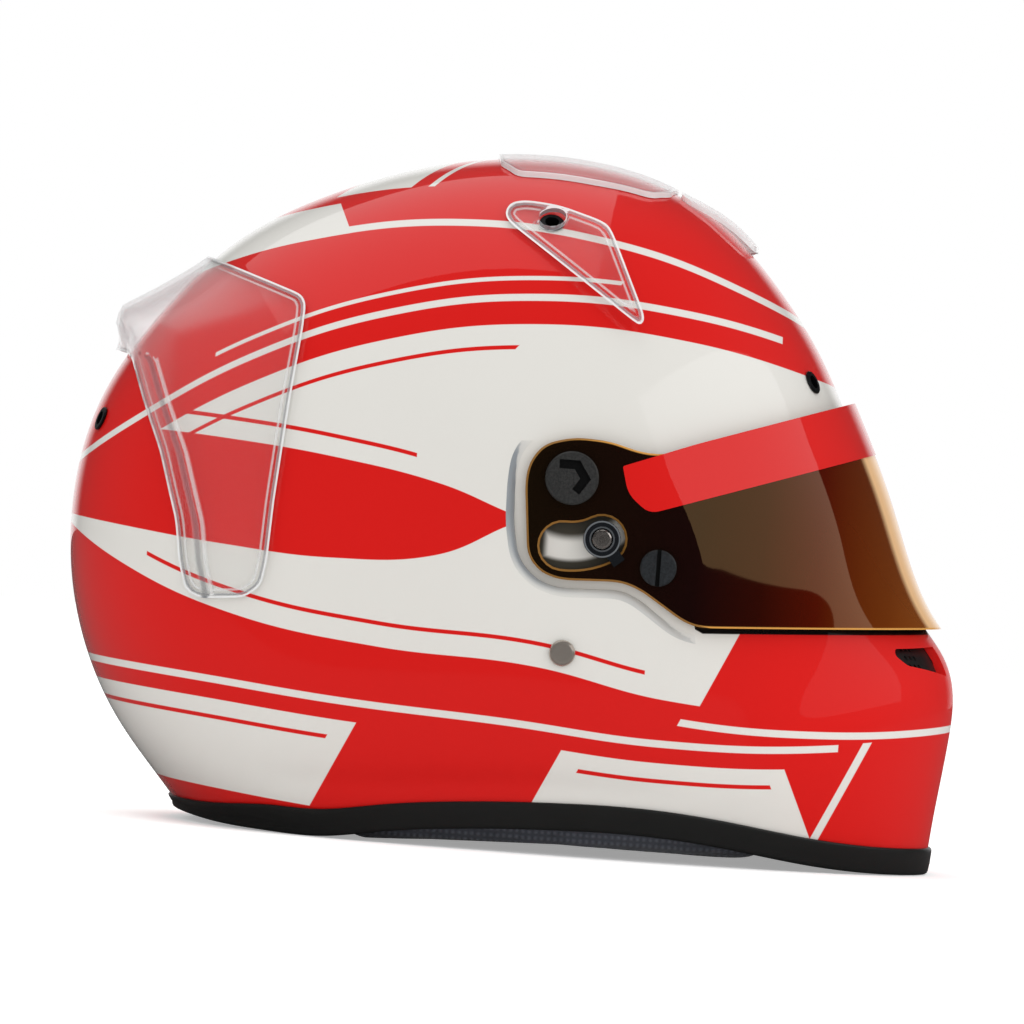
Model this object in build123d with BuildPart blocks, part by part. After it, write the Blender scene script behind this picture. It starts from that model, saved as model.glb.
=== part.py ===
from build123d import *
import math
import os

import numpy as np

os.makedirs("parts", exist_ok=True)

# Full-face auto racing helmet, in millimetres.
# +X is the front, +Z is up and -Y is the wearer's right side.
# The origin is under the middle of the helmet, on the surface that it stands on.

# Driving dimensions of the shell
shell_length = 348.0
shell_width = 245.0
shell_height = 266.0
shell_wall = 3.0

# Clearances and overruns
seat_gap = 0.3
shaft_gap = 0.05
cut_overrun = 30.0
probe_step = 0.5
test_margin = 1.0

# Shell form: a closed side-view profile about a pole below the neck edge, carried across the width.
# Each profile point is a share of the length, from the middle, and of the height, from the floor.
pole_height_share = -0.053
profile_shares = [
    (-0.323, -0.039), (-0.358, 0.024), (-0.394, 0.079), (-0.428, 0.134), (-0.474, 0.247),
    (-0.496, 0.363), (-0.4975, 0.480), (-0.477, 0.599), (-0.418, 0.732), (-0.335, 0.850),
    (-0.227, 0.932), (-0.116, 0.982), (-0.006, 1.000), (0.084, 0.990), (0.177, 0.947),
    (0.224, 0.903), (0.273, 0.836), (0.323, 0.747), (0.350, 0.682), (0.403, 0.534),
    (0.462, 0.362), (0.484, 0.325), (0.498, 0.284), (0.4995, 0.198), (0.489, 0.079),
    (0.484, 0.013), (0.477, -0.045),
]
fullness_rear_share = 2.5
fullness_top_share = 4.3
fullness_front_share = 2.05
tuck_height_share = 0.26
tuck_depth_share = 0.10
# How far the neck edge rises above its lowest places, along the length
neck_rise_shares = [
    (-0.60, 0.021), (-0.36, 0.0155), (-0.31, 0.006), (-0.25, 0.0015), (-0.19, 0.0015),
    (-0.13, 0.014), (-0.05, 0.027), (0.07, 0.0365), (0.16, 0.037), (0.25, 0.027),
    (0.35, 0.009), (0.44, 0.0010), (0.50, 0.0005), (0.60, 0.0005),
]

# Eyeport, as a side outline that is cut straight through
eyeport_shares = [
    (0.205, 0.440), (0.230, 0.382), (0.300, 0.378), (0.620, 0.392),
    (0.620, 0.660), (0.390, 0.650), (0.245, 0.578), (0.205, 0.525),
]
eyeport_corner = 9.0
gasket_flange = 4.0
gasket_lip = 2.0
gasket_thickness = 1.3

# Visor and its flat arms
pivot_shares = (0.0546, 0.5372)
visor_thickness = 2.8
visor_lift = 2.4
recess_depth = 7.5
arm_gap = 1.6
arm_margin = 3.0
arm_blend = 2.0
recess_shares = [
    (-0.0057, 0.530), (-0.003, 0.564), (0.0115, 0.592), (0.0345, 0.609), (0.040, 0.658),
    (0.273, 0.658), (0.273, 0.323), (0.204, 0.327), (0.181, 0.334), (0.135, 0.3745),
    (0.115, 0.384), (0.050, 0.380), (0.0236, 0.3906), (0.0034, 0.4184), (-0.0046, 0.470),
]
visor_shares = [
    (0.004, 0.529), (0.008, 0.558), (0.0225, 0.5835), (0.0546, 0.5955), (0.0925, 0.5935),
    (0.126, 0.5812), (0.153, 0.580), (0.372, 0.679), (0.520, 0.746),
    (0.520, 0.363), (0.2055, 0.339), (0.1865, 0.3455), (0.1374, 0.386),
    (0.1152, 0.3955), (0.050, 0.3918), (0.028, 0.4008), (0.0124, 0.4233),
]
visor_corner = 3.0
strip_shares = [
    (0.1076, 0.592), (0.1175, 0.524), (0.142, 0.4995), (0.375, 0.599), (0.520, 0.661),
    (0.520, 0.780), (0.372, 0.6825), (0.153, 0.5835), (0.126, 0.585),
]
strip_thickness = 0.4
strip_gap = 0.05
strip_corner = 1.5
visor_travel = 32.0
visor_axis_share = 0.0862
visor_height_shares = (0.30, 0.72)
visor_turn = math.radians(111)
slot_spare = 2.0

# Pivot: boss, cap and inside nut
boss_radius = 8.0
pivot_stem_radius = 2.6
cap_radius = 10.2
cap_height = 2.6
cap_groove_width = 3.4
cap_groove_depth = 1.1
cap_edge = 0.6
nut_radius = 9.0
nut_flange = 1.4
nut_barrel_radius = 4.6

# Visor lock: slot in the arm, fixed post, turning cam ring and button-head screw
lock_radius = 25.7
lock_angle = -59.5
slot_width = 17.6
cam_radius = 7.1
cam_rise = 1.5
cam_tab_length = 5.6
cam_tab_width = 5.0
cam_tab_angle = -50.0
post_radius = 3.0
post_flange_radius = 6.0
screw_head_radius = 3.8
screw_head_height = 2.1
screw_shank_radius = 1.5
screw_socket_radius = 1.3
screw_socket_depth = 1.2

# Tear-off posts on the visor
tear_shares = (0.1552, 0.4192)
tear_radius = 7.0
tear_height = 2.2
tear_stem_radius = 2.5
tear_washer_radius = 4.5
tear_washer_thickness = 0.9
tear_slot_width = 1.6
tear_slot_depth = 0.9

# Ring ferrules in the vent holes
ferrule_radius = 4.7
ferrule_bore = 2.75
ferrule_stem_radius = 3.7
ferrule_flange = 1.0
crown_hole_shares = (0.012, 0.900)
forehead_hole_shares = (0.312, 0.702)
rear_hole_shares = (-0.469, 0.572)

# Chin vents, as outlines seen from the front, in shares of half the width and of the height
chin_vent_shares = [(0.17, 0.292), (0.17, 0.334), (0.455, 0.328), (0.470, 0.318), (0.44, 0.305)]
chin_vent_corner = 1.2
vent_start_share = 0.30
mesh_thickness = 0.8
mesh_border = 2.4
mesh_hole = 1.9
mesh_pitch = 3.2
mesh_rows = 11
mesh_columns = 3

# Edge trim round the neck opening
trim_outside = 1.7
trim_inside = 1.8
trim_below = 2.3
trim_height = 8.4

# Impact liners and comfort parts
liner_thickness = 31.0
chin_liner_thickness = 20.0
vent_channel_radius = 5.0
comfort_thickness = 8.0
comfort_channel = 2.2
comfort_channel_width = 9.0
comfort_panel_share = 0.26
cheek_thickness = 38.0
cheek_edge_thickness = 22.0
neck_roll_thickness = 27.0
neck_roll_edge = 12.0
cheek_middle_shares = (0.060, 0.200)
cheek_reach_shares = (0.270, 0.260)
roll_middle_share = 0.075
roll_reach_share = 0.075
pad_corner = 5.0
crown_liner_shares = [
    (-0.60, 0.136), (-0.175, 0.136), (-0.150, 0.240), (-0.095, 0.428), (0.165, 0.428),
    (0.172, 0.560), (0.230, 0.608), (0.385, 0.692), (0.440, 0.720), (0.440, 1.100), (-0.60, 1.100),
]
comfort_shares = [
    (-0.60, 0.156), (-0.190, 0.156), (-0.165, 0.250), (-0.110, 0.448), (0.150, 0.448),
    (0.158, 0.575), (0.215, 0.628), (0.375, 0.712), (0.375, 1.100), (-0.60, 1.100),
]
chin_liner_shares = [(0.300, 0.064), (0.60, 0.060), (0.60, 0.362), (0.300, 0.346)]
cheek_shares = [
    (-0.164, 0.0), (-0.060, 0.0085), (0.070, 0.0145), (0.200, 0.0120), (0.292, 0.0075),
    (0.294, 0.330), (0.205, 0.346), (0.168, 0.420), (-0.088, 0.420), (-0.146, 0.232),
]
neck_roll_shares = [
    (-0.60, 0.050), (-0.36, 0.048), (-0.31, 0.021), (-0.173, 0.010), (-0.173, 0.130), (-0.60, 0.130),
]

# Chin strap: rivets, anchor plates, webbing and the double D-ring
rivet_shares = (0.0583, 0.2887)
rivet_head_radius = 5.0
rivet_head_height = 2.2
rivet_shank_radius = 2.4
rivet_length = 8.4
anchor_width = 22.0
anchor_height = 26.0
anchor_thickness = 1.6
anchor_corner = 3.0
strap_width = 20.0
strap_thickness = 2.0
strap_slot_height = 7.0
strap_slot_side = 2.5
strap_hang = 64.0
strap_bend = 5.0
ring_wire = 1.6
ring_width = 28.0
ring_height = 19.0
ring_corner = 3.4
ring_pitch = 3.8
ring_bar_height = 31.0
eye_wall = 1.6
tail_reach = 12.0
tail_bend = 9.0
tail_height = 2.9

# Clear polycarbonate aerodynamic parts
clear_thickness = 1.8
spoiler_shares = [
    (-0.371, 0.823), (-0.320, 0.800), (-0.256, 0.771), (-0.2496, 0.758), (-0.2506, 0.718),
    (-0.2578, 0.617), (-0.2658, 0.474), (-0.2684, 0.388), (-0.2727, 0.3515), (-0.2900, 0.3327),
    (-0.3390, 0.3263), (-0.3560, 0.336), (-0.3661, 0.378), (-0.3727, 0.434), (-0.397, 0.532),
    (-0.4207, 0.601), (-0.4411, 0.6677), (-0.4600, 0.6752), (-0.510, 0.6752), (-0.510, 0.823),
]
spoiler_lift = 12.5
spoiler_wing_lift = 6.0
spoiler_run_share = 0.115
spoiler_rise_power = 1.5
spoiler_blend_shares = (0.50, 0.72)
spoiler_tab_height = 13.0
spoiler_tab_steepness = 1.6
spoiler_face_height = 16.0
spoiler_face_width = 8.0
spoiler_face_share = 0.75
spoiler_tape = 0.6
spoiler_angles = (2.0, 90.0)
spoiler_rows = 60
spoiler_columns = 57
deflector_shares = [
    (-0.0405, 0.912), (-0.035, 0.927), (-0.018, 0.9325), (0.019, 0.928), (0.068, 0.909),
    (0.0776, 0.898), (0.1213, 0.773), (0.1164, 0.7613), (0.1050, 0.770), (0.024, 0.8437),
    (-0.036, 0.898),
]
deflector_lift = 4.0
deflector_run_share = 0.10
top_shares = [
    (-0.053, 0.00), (-0.050, 0.24), (-0.030, 0.355), (0.055, 0.360), (0.120, 0.330),
    (0.142, 0.23), (0.152, 0.00),
]
front_strip_shares = [
    (0.1545, 0.00), (0.155, 0.17), (0.168, 0.195), (0.225, 0.190), (0.241, 0.165), (0.2465, 0.00),
]
front_strip_lift = 2.2
clear_corner = 2.0

# Values that follow from the dimensions above
half_width = shell_width / 2
pole_height = pole_height_share * shell_height
tuck_height = tuck_height_share * shell_height
recess_floor = half_width - recess_depth
arm_inner = recess_floor + arm_gap
arm_outer = arm_inner + visor_thickness
pivot_x = pivot_shares[0] * shell_length
pivot_z = pivot_shares[1] * shell_height
lock_x = pivot_x + lock_radius * math.cos(math.radians(lock_angle))
lock_z = pivot_z + lock_radius * math.sin(math.radians(lock_angle))
tear_x = tear_shares[0] * shell_length
tear_z = tear_shares[1] * shell_height
rivet_x = rivet_shares[0] * shell_length
rivet_z = rivet_shares[1] * shell_height
boss_back = recess_floor - shell_wall
skin_turn = math.radians(89.4)
vent_places = (crown_hole_shares, forehead_hole_shares, rear_hole_shares)


def side_points(shares):
    """Points of a side outline, in millimetres."""
    return [(share[0] * shell_length, share[1] * shell_height) for share in shares]


def natural_spline(knots, values):
    """A natural cubic spline through the values at the knots, as a function."""
    count = len(knots)
    steps = np.diff(knots)
    matrix = np.eye(count)
    right = np.zeros(count)
    for row in range(1, count - 1):
        matrix[row, row - 1] = steps[row - 1]
        matrix[row, row] = 2 * (steps[row - 1] + steps[row])
        matrix[row, row + 1] = steps[row]
        rise = (values[row + 1] - values[row]) / steps[row]
        right[row] = 6 * (rise - (values[row] - values[row - 1]) / steps[row - 1])
    bends = np.linalg.solve(matrix, right)

    def curve(at):
        at = np.asarray(at, float)
        cell = np.clip(np.searchsorted(knots, at) - 1, 0, count - 2)
        step = steps[cell]
        after = at - knots[cell]
        before = knots[cell + 1] - at
        cubic = (bends[cell] * before**3 + bends[cell + 1] * after**3) / (6 * step)
        start = (values[cell] / step - bends[cell] * step / 6) * before
        return cubic + start + (values[cell + 1] / step - bends[cell + 1] * step / 6) * after

    return curve


profile = np.array(side_points(profile_shares))
profile_angles = np.arctan2(profile[:, 1] - pole_height, -profile[:, 0])
profile_radius = natural_spline(profile_angles, np.hypot(profile[:, 0], profile[:, 1] - pole_height))


def fullness(angle):
    """Exponent of the cross section: full over the crown, rounder at the rear and the front."""
    end = np.where(np.cos(angle) > 0, fullness_rear_share, fullness_front_share)
    return end + (fullness_top_share - end) * np.sin(angle) ** 2


def width_at(height):
    """Half the width of the shell at a height, drawn in towards the neck edge."""
    low = np.clip(1 - np.asarray(height, float) / tuck_height, 0, None)
    return half_width * (1 - tuck_depth_share * low**2)


def surface_y(x, z, inset=0.0):
    """How far the surface stands out sideways at a place of the side view, or zero outside it."""
    angle = np.arctan2(np.asarray(z, float) - pole_height, -np.asarray(x, float))
    reach = np.hypot(x, np.asarray(z, float) - pole_height) / (profile_radius(angle) - inset)
    room = np.clip(1 - reach ** fullness(angle), 0, None)
    return (width_at(z) - inset) * np.sqrt(room)


def outside(point, inset=0.0):
    """Positive where a point lies outside the surface, negative inside it."""
    angle = math.atan2(point.Z - pole_height, -point.X)
    reach = math.hypot(point.X, point.Z - pole_height) / (profile_radius(angle) - inset)
    return reach ** fullness(angle) + (point.Y / (width_at(point.Z) - inset)) ** 2 - 1


def surface_plane(point):
    """The plane that lies on the outer surface at a point, facing outwards."""
    slope = []
    for axis in (Vector(1, 0, 0), Vector(0, 1, 0), Vector(0, 0, 1)):
        ahead = outside(point + axis * probe_step)
        slope.append(float(ahead - outside(point - axis * probe_step)))
    return Plane(origin=point, z_dir=Vector(*slope))


def face_of(x, y, z):
    """A smooth face through a grid of points."""
    rows = [[Vector(*map(float, spot)) for spot in zip(*line)] for line in zip(x, y, z)]
    return Face.make_surface_from_array_of_points(rows, tol=0.03, min_deg=3, max_deg=3)


def skin(inset, rows=61, columns=25, angles=None):
    """The dome drawn in by an inset, with a test for points beyond it. The inset may follow x, y and z."""
    first, last = profile_angles[[0, -1]] if angles is None else angles
    angle, turn = np.meshgrid(
        np.linspace(first, last, rows),
        np.linspace(-skin_turn, skin_turn, columns),
        indexing="ij",
    )
    share = np.cos(turn)
    side = np.sign(turn) * np.sqrt(1 - share ** fullness(angle))
    reach = profile_radius(angle) * share
    height = pole_height + reach * np.sin(angle)
    depth = inset(-reach * np.cos(angle), width_at(height) * side, height) if callable(inset) else inset
    reach = reach - depth * share
    height = pole_height + reach * np.sin(angle)
    face = face_of(-reach * np.cos(angle), (width_at(height) - depth) * side, height)

    def beyond(point, margin):
        local = inset_near(inset, point) if callable(inset) else inset
        return outside(point, local - margin) > 0

    return face, beyond


def inset_near(inset, point):
    """The inset at the place of the shell that a point stands over, found by repeated steps."""
    angle = math.atan2(point.Z - pole_height, -point.X)
    full = float(profile_radius(angle))
    local = 0.0
    for _ in range(8):
        share = min(math.hypot(point.X, point.Z - pole_height) / (full - local), 1)
        height = pole_height + full * share * math.sin(angle)
        side = math.copysign(math.sqrt(1 - share ** float(fullness(angle))), point.Y)
        local = float(inset(-full * share * math.cos(angle), float(width_at(height)) * side, height))
    return local


def smooth(value, start, end):
    """A step from 0 to 1 that eases in and out between start and end."""
    share = np.clip((value - start) / (end - start), 0, 1)
    return share * share * (3 - 2 * share)


def bulge(value, middle, reach):
    """A smooth hump: 1 at the middle, and falling off steeply a reach away from it."""
    return np.exp(-(((value - middle) / reach) ** 4))


def cut_by(block, cutter, keep_outer, margin=test_margin):
    """The solids of a block that lie outside, or inside, a cutting face."""
    face, beyond = cutter
    kept = []
    for piece in split(block, bisect_by=face, keep=Keep.ALL, mode=Mode.PRIVATE).solids():
        if any(beyond(corner, margin) for corner in piece.vertices()) == keep_outer:
            kept.append(piece)
    return kept


def between(block, outer, inner, thickness=2 * test_margin):
    """The solids of a block that lie inside one face and outside another, a thickness apart at most."""
    layers = []
    for piece in cut_by(block, outer, False):
        layers += cut_by(piece, inner, True, thickness / 2)
    return layers


def side_block(shares, corner=0.0, grow=0.0, start=0.0, sides=(-1, 1)):
    """A block with a side outline, from a distance off the middle plane outwards, on the given sides."""
    with BuildPart() as block:
        for side in sides:
            with BuildSketch(Plane(origin=(0, side * start, 0), x_dir=(1, 0, 0), z_dir=(0, -1, 0))):
                with BuildLine():
                    Polyline(*side_points(shares), close=True)
                make_face()
                if corner:
                    fillet(vertices(), corner)
                if grow:
                    offset(amount=grow, kind=Kind.INTERSECTION)
            extrude(amount=-side * shell_width)
    return block.part


def neck_block(rise=0.0, top=None):
    """A block over the neck edge, raised by an amount, up to another rise or past the crown."""
    edge = [(x, z + trim_below + rise) for x, z in side_points(neck_rise_shares)]
    with BuildPart() as block:
        with BuildSketch(Plane.XZ):
            with BuildLine():
                lower = Spline(*edge)
                if top is None:
                    high = shell_height + cut_overrun
                    Polyline(lower @ 1, (edge[-1][0], high), (edge[0][0], high), lower @ 0)
                else:
                    upper = Spline(*[(x, z - rise + top) for x, z in edge])
                    Line(lower @ 0, upper @ 0)
                    Line(lower @ 1, upper @ 1)
            make_face()
        extrude(amount=shell_width, both=True)
    return block.part


def plan_block(shares):
    """A block over the crown with a plan outline, given for the left half and mirrored."""
    half = [(share[0] * shell_length, share[1] * half_width) for share in shares]
    other = [(x, -y) for x, y in reversed(half[1:-1])]
    with BuildPart() as block:
        with BuildSketch(Plane.XY.offset(shell_height / 2)):
            with BuildLine():
                Polyline(*half, *other, close=True)
            make_face()
            fillet(vertices(), clear_corner)
        extrude(amount=shell_height)
    return block.part


def vent_block(grow=0.0, sides=(-1, 1)):
    """Blocks with the outline of the chin vents, seen from the front."""
    with BuildPart() as block:
        for side in sides:
            outline = [(side * y * half_width, z * shell_height) for y, z in chin_vent_shares]
            with BuildSketch(Plane.YZ.offset(vent_start_share * shell_length)):
                with BuildLine():
                    Polyline(*outline, close=True)
                make_face()
                fillet(vertices(), chin_vent_corner)
                if grow:
                    offset(amount=grow)
            extrude(amount=shell_length / 2)
    return block.part


def side_plane(x, z, y):
    """A plane on the right-hand side of the helmet, a distance off the middle plane, facing outwards."""
    return Plane(origin=(x, -y, z), x_dir=(1, 0, 0), z_dir=(0, -1, 0))


def write(piece, label):
    """Names a finished piece and writes it."""
    piece.label = label
    export_step(piece, f"parts/{label}.step")


def write_pair(piece, label):
    """Writes a right-hand piece and its mirror image on the left."""
    write(piece, f"{label}_right")
    with BuildPart() as twin:
        mirror(piece, about=Plane.XZ)
    write(twin.part, f"{label}_left")


def both_sides(place):
    """The planes on the surface at a place of the side view, right and left."""
    x, z = place[0] * shell_length, place[1] * shell_height
    y = float(surface_y(x, z))
    return [surface_plane(Vector(x, -y, z)), surface_plane(Vector(x, y, z))]


# Faces of the layers, from the outside in
liner_inset = shell_wall + seat_gap
comfort_inset = liner_inset + liner_thickness + seat_gap
pad_inset = shell_wall + trim_inside + seat_gap
outer_skin = skin(0.0)
inner_skin = skin(shell_wall)
liner_outer_skin = skin(liner_inset)
pad_outer_skin = skin(pad_inset)
helmet_block = neck_block()
boss_block = side_block(recess_shares, grow=arm_margin, start=boss_back)
pocket_back = boss_back - nut_flange - 2 * seat_gap
pocket_block = side_block(recess_shares, grow=arm_margin + seat_gap, start=pocket_back)
hole_planes = [plane for place in vent_places for plane in both_sides(place)]

# Outer shell: laminated wall with the eyeport, the flat recesses for the visor's arms, vents and holes
with BuildPart() as outer_shell:
    add(between(helmet_block, outer_skin, inner_skin))
    add(cut_by(boss_block, outer_skin, False))
    add(side_block(recess_shares, start=recess_floor), mode=Mode.SUBTRACT)
    add(side_block(eyeport_shares, corner=eyeport_corner), mode=Mode.SUBTRACT)
    add(vent_block(), mode=Mode.SUBTRACT)
    with Locations(*hole_planes):
        Cylinder(ferrule_stem_radius + shaft_gap, cut_overrun, mode=Mode.SUBTRACT)
    for side in (-1, 1):
        with Locations(
            Location((pivot_x, side * recess_floor, pivot_z), (90, 0, 0)),
        ):
            Cylinder(nut_barrel_radius + shaft_gap, cut_overrun / 2, mode=Mode.SUBTRACT)
        with Locations(Location((lock_x, side * recess_floor, lock_z), (90, 0, 0))):
            Cylinder(post_radius + shaft_gap, cut_overrun / 2, mode=Mode.SUBTRACT)
    with Locations(*both_sides(rivet_shares)):
        Cylinder(rivet_shank_radius + shaft_gap, cut_overrun, mode=Mode.SUBTRACT)
write(outer_shell.part, "outer_shell")

# Neck edge trim: a rubber channel that grips the shell's lower edge
with BuildPart() as base_trim:
    trim_block = neck_block(-trim_below, trim_height - trim_below)
    add(between(trim_block, skin(-trim_outside), skin(shell_wall + trim_inside)))
    add(between(neck_block(-shaft_gap), skin(-shaft_gap), skin(shell_wall + shaft_gap)), mode=Mode.SUBTRACT)
write(base_trim.part, "base_trim")

# Eyeport gasket: a rubber flange on the shell with a lip through the opening
gasket_seat = skin(-shaft_gap)
with BuildPart() as beside_lip:
    add(side_block(eyeport_shares, corner=eyeport_corner, grow=gasket_flange + gasket_lip))
    add(side_block(eyeport_shares, corner=eyeport_corner, grow=-shaft_gap), mode=Mode.SUBTRACT)
with BuildPart() as eyeport_gasket:
    add(
        between(
            side_block(eyeport_shares, corner=eyeport_corner, grow=gasket_flange),
            skin(-gasket_thickness),
            skin(shell_wall + shaft_gap),
        )
    )
    add(side_block(eyeport_shares, corner=eyeport_corner, grow=-gasket_lip), mode=Mode.SUBTRACT)
    add(cut_by(beside_lip.part, gasket_seat, False), mode=Mode.SUBTRACT)
write(eyeport_gasket.part, "eyeport_gasket")

# Impact liners of foam: a crown, and a bar inside the chin
with BuildPart() as crown_liner:
    add(between(side_block(crown_liner_shares), liner_outer_skin, skin(liner_inset + liner_thickness)))
    add(pocket_block, mode=Mode.SUBTRACT)
    with Locations(*hole_planes):
        Cylinder(vent_channel_radius, cut_overrun * 3, mode=Mode.SUBTRACT)
write(crown_liner.part, "crown_liner")

with BuildPart() as chin_bar_liner:
    add(between(side_block(chin_liner_shares), pad_outer_skin, skin(pad_inset + chin_liner_thickness)))
    add(vent_block(grow=mesh_border + seat_gap), mode=Mode.SUBTRACT)
write(chin_bar_liner.part, "chin_bar_liner")


def comfort_inset_at(x, y, z):
    """Inset of the comfort liner's inner face: full panels with a sewn channel between them."""
    channel = np.exp(-(((np.abs(y) - comfort_panel_share * half_width) / comfort_channel_width) ** 2))
    return comfort_inset + comfort_thickness - comfort_channel * channel


# Comfort parts of fabric over foam: crown lining, cheek pads and neck roll
with BuildPart() as comfort_liner:
    add(between(side_block(comfort_shares), skin(comfort_inset), skin(comfort_inset_at), comfort_thickness))
write(comfort_liner.part, "comfort_liner")


def cheek_inset_at(x, y, z):
    """Inset of the cheek pad's inner face: a crown that draws in towards the edges."""
    middle_x, middle_z = cheek_middle_shares[0] * shell_length, cheek_middle_shares[1] * shell_height
    reach_x, reach_z = cheek_reach_shares[0] * shell_length, cheek_reach_shares[1] * shell_height
    crown = bulge(x, middle_x, reach_x) * bulge(z, middle_z, reach_z)
    return pad_inset + cheek_edge_thickness + (cheek_thickness - cheek_edge_thickness) * crown


plate_corner = (rivet_x + anchor_width / 2, rivet_z + anchor_height / 2)
plate_y = float(surface_y(*plate_corner, shell_wall)) - seat_gap - anchor_thickness
tab_y = plate_y - seat_gap - strap_thickness / 2
strap_slot_z = rivet_z - anchor_height / 2 - strap_bend
with BuildPart() as cheek_pad:
    cheek_block = side_block(cheek_shares, corner=pad_corner, sides=(-1,))
    add(between(cheek_block, pad_outer_skin, skin(cheek_inset_at)))
    add(pocket_block, mode=Mode.SUBTRACT)
    with BuildSketch(side_plane(rivet_x, rivet_z - strap_bend / 2, tab_y - strap_thickness - seat_gap)):
        RectangleRounded(
            anchor_width + 2 * strap_slot_side,
            anchor_height + strap_bend + 2 * strap_slot_side,
            anchor_corner,
        )
    extrude(amount=cut_overrun, mode=Mode.SUBTRACT)
    with BuildSketch(side_plane(rivet_x, strap_slot_z, 0)):
        RectangleRounded(strap_width + 2 * strap_slot_side, strap_slot_height, strap_slot_height / 3)
    extrude(amount=tab_y, mode=Mode.SUBTRACT)
write_pair(cheek_pad.part, "cheek_pad")


def roll_inset_at(x, y, z):
    """Inset of the neck roll's inner face: a soft roll along the rear edge."""
    crown = bulge(z, roll_middle_share * shell_height, roll_reach_share * shell_height)
    return pad_inset + neck_roll_edge + (neck_roll_thickness - neck_roll_edge) * crown


with BuildPart() as neck_roll:
    add(between(side_block(neck_roll_shares), pad_outer_skin, skin(roll_inset_at)))
write(neck_roll.part, "neck_roll")

# Chin vent grilles: thin perforated plates behind the vents
with BuildPart() as chin_vent_mesh:
    mesh_inset = shell_wall + seat_gap
    mesh_faces = (skin(mesh_inset), skin(mesh_inset + mesh_thickness))
    add(between(vent_block(grow=mesh_border, sides=(-1,)), *mesh_faces, mesh_thickness))
    vent_middle = -sum(y for y, _ in chin_vent_shares) / len(chin_vent_shares) * half_width
    vent_height = sum(z for _, z in chin_vent_shares) / len(chin_vent_shares) * shell_height
    vent_start = vent_start_share * shell_length
    with BuildSketch(Plane(origin=(vent_start, vent_middle, vent_height), z_dir=(1, 0, 0))):
        with GridLocations(mesh_pitch, mesh_pitch, mesh_rows, mesh_columns):
            Circle(mesh_hole / 2)
    extrude(amount=shell_length / 2, mode=Mode.SUBTRACT)
write_pair(chin_vent_mesh.part, "chin_vent_mesh")

# Ring ferrules that line the vent holes
for label, place in zip(("crown", "forehead", "rear"), vent_places):
    with BuildPart() as ferrules:
        for plane in both_sides(place):
            with BuildSketch(plane.offset(shaft_gap)):
                Circle(ferrule_radius)
            extrude(amount=ferrule_flange)
            with BuildSketch(plane.offset(-shell_wall)):
                Circle(ferrule_stem_radius)
            extrude(amount=shell_wall + 2 * shaft_gap)
            with BuildSketch(plane.offset(-shell_wall)):
                Circle(ferrule_bore)
            extrude(amount=shell_wall * 2, mode=Mode.SUBTRACT)
        chamfer(edges().filter_by(GeomType.CIRCLE).group_by(SortBy.RADIUS)[-1], ferrule_flange / 3)
    write(ferrules.part, f"{label}_vent_ferrules")

# Visor: a lens that follows the shell at the front and turns into flat arms at the pivots


def soft_min(first, second):
    """The smaller of two values, with the crossing rounded off."""
    near = np.clip(1 - np.abs(first - second) / arm_blend, 0, None)
    return np.minimum(first, second) - near**2 * arm_blend / 4


def visor_reach(turn, height, lift, arm):
    """Distance from the visor's upright axis to its surface, by halving the ray that turns from the front."""
    near = np.zeros_like(turn)
    far = np.full_like(turn, shell_length)
    for _ in range(40):
        middle = (near + far) / 2
        x = visor_axis + middle * np.cos(turn)
        y = middle * np.abs(np.sin(turn))
        over = surface_y(x, height, -lift)
        inside = (over > 0) & (y < soft_min(np.full_like(x, arm), over))
        near = np.where(inside, middle, near)
        far = np.where(inside, far, middle)
    return near


def visor_skin(lift, arm):
    """A face of the visor at a lift over the shell, flat on its arms, with a test for points beyond it."""
    height, turn = np.meshgrid(
        np.linspace(*(share * shell_height for share in visor_height_shares), 15),
        np.linspace(-visor_turn, visor_turn, 45),
        indexing="ij",
    )
    reach = visor_reach(turn, height, lift, arm)

    def beyond(point, margin):
        turn_of = np.array(math.atan2(point.Y, point.X - visor_axis))
        limit = visor_reach(turn_of, np.array(point.Z), lift, arm)
        return math.hypot(point.X - visor_axis, point.Y) > float(limit) + margin

    return face_of(visor_axis + reach * np.cos(turn), reach * np.sin(turn), height), beyond


visor_axis = visor_axis_share * shell_length
visor_inner_skin = visor_skin(visor_lift, arm_inner)
visor_outer_skin = visor_skin(visor_lift + visor_thickness, arm_outer)
slot_turn = visor_travel + slot_spare
with BuildPart() as visor_lens:
    add(between(side_block(visor_shares, corner=visor_corner), visor_outer_skin, visor_inner_skin))
    slot_path = CenterArc((0, 0), lock_radius, lock_angle - slot_turn, slot_turn, mode=Mode.PRIVATE)
    for side in (-1, 1):
        with BuildSketch(side_plane(pivot_x, pivot_z, side * recess_floor)):
            Circle(boss_radius + shaft_gap)
            with Locations((tear_x - pivot_x, tear_z - pivot_z)):
                Circle(tear_stem_radius + shaft_gap)
            SlotArc(slot_path, slot_width)
        extrude(amount=cut_overrun, both=True, mode=Mode.SUBTRACT)
write(visor_lens.part, "visor_lens")

# Sun strip: a film along the top of the visor
with BuildPart() as visor_sun_strip:
    film_lift = visor_lift + visor_thickness + strip_gap
    film_inner_skin = visor_skin(film_lift, arm_outer + strip_gap)
    film_outer_skin = visor_skin(film_lift + strip_thickness, arm_outer + strip_gap + strip_thickness)
    strip_block = side_block(strip_shares, corner=strip_corner)
    add(between(strip_block, film_outer_skin, film_inner_skin, strip_thickness))
write(visor_sun_strip.part, "visor_sun_strip")

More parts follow.
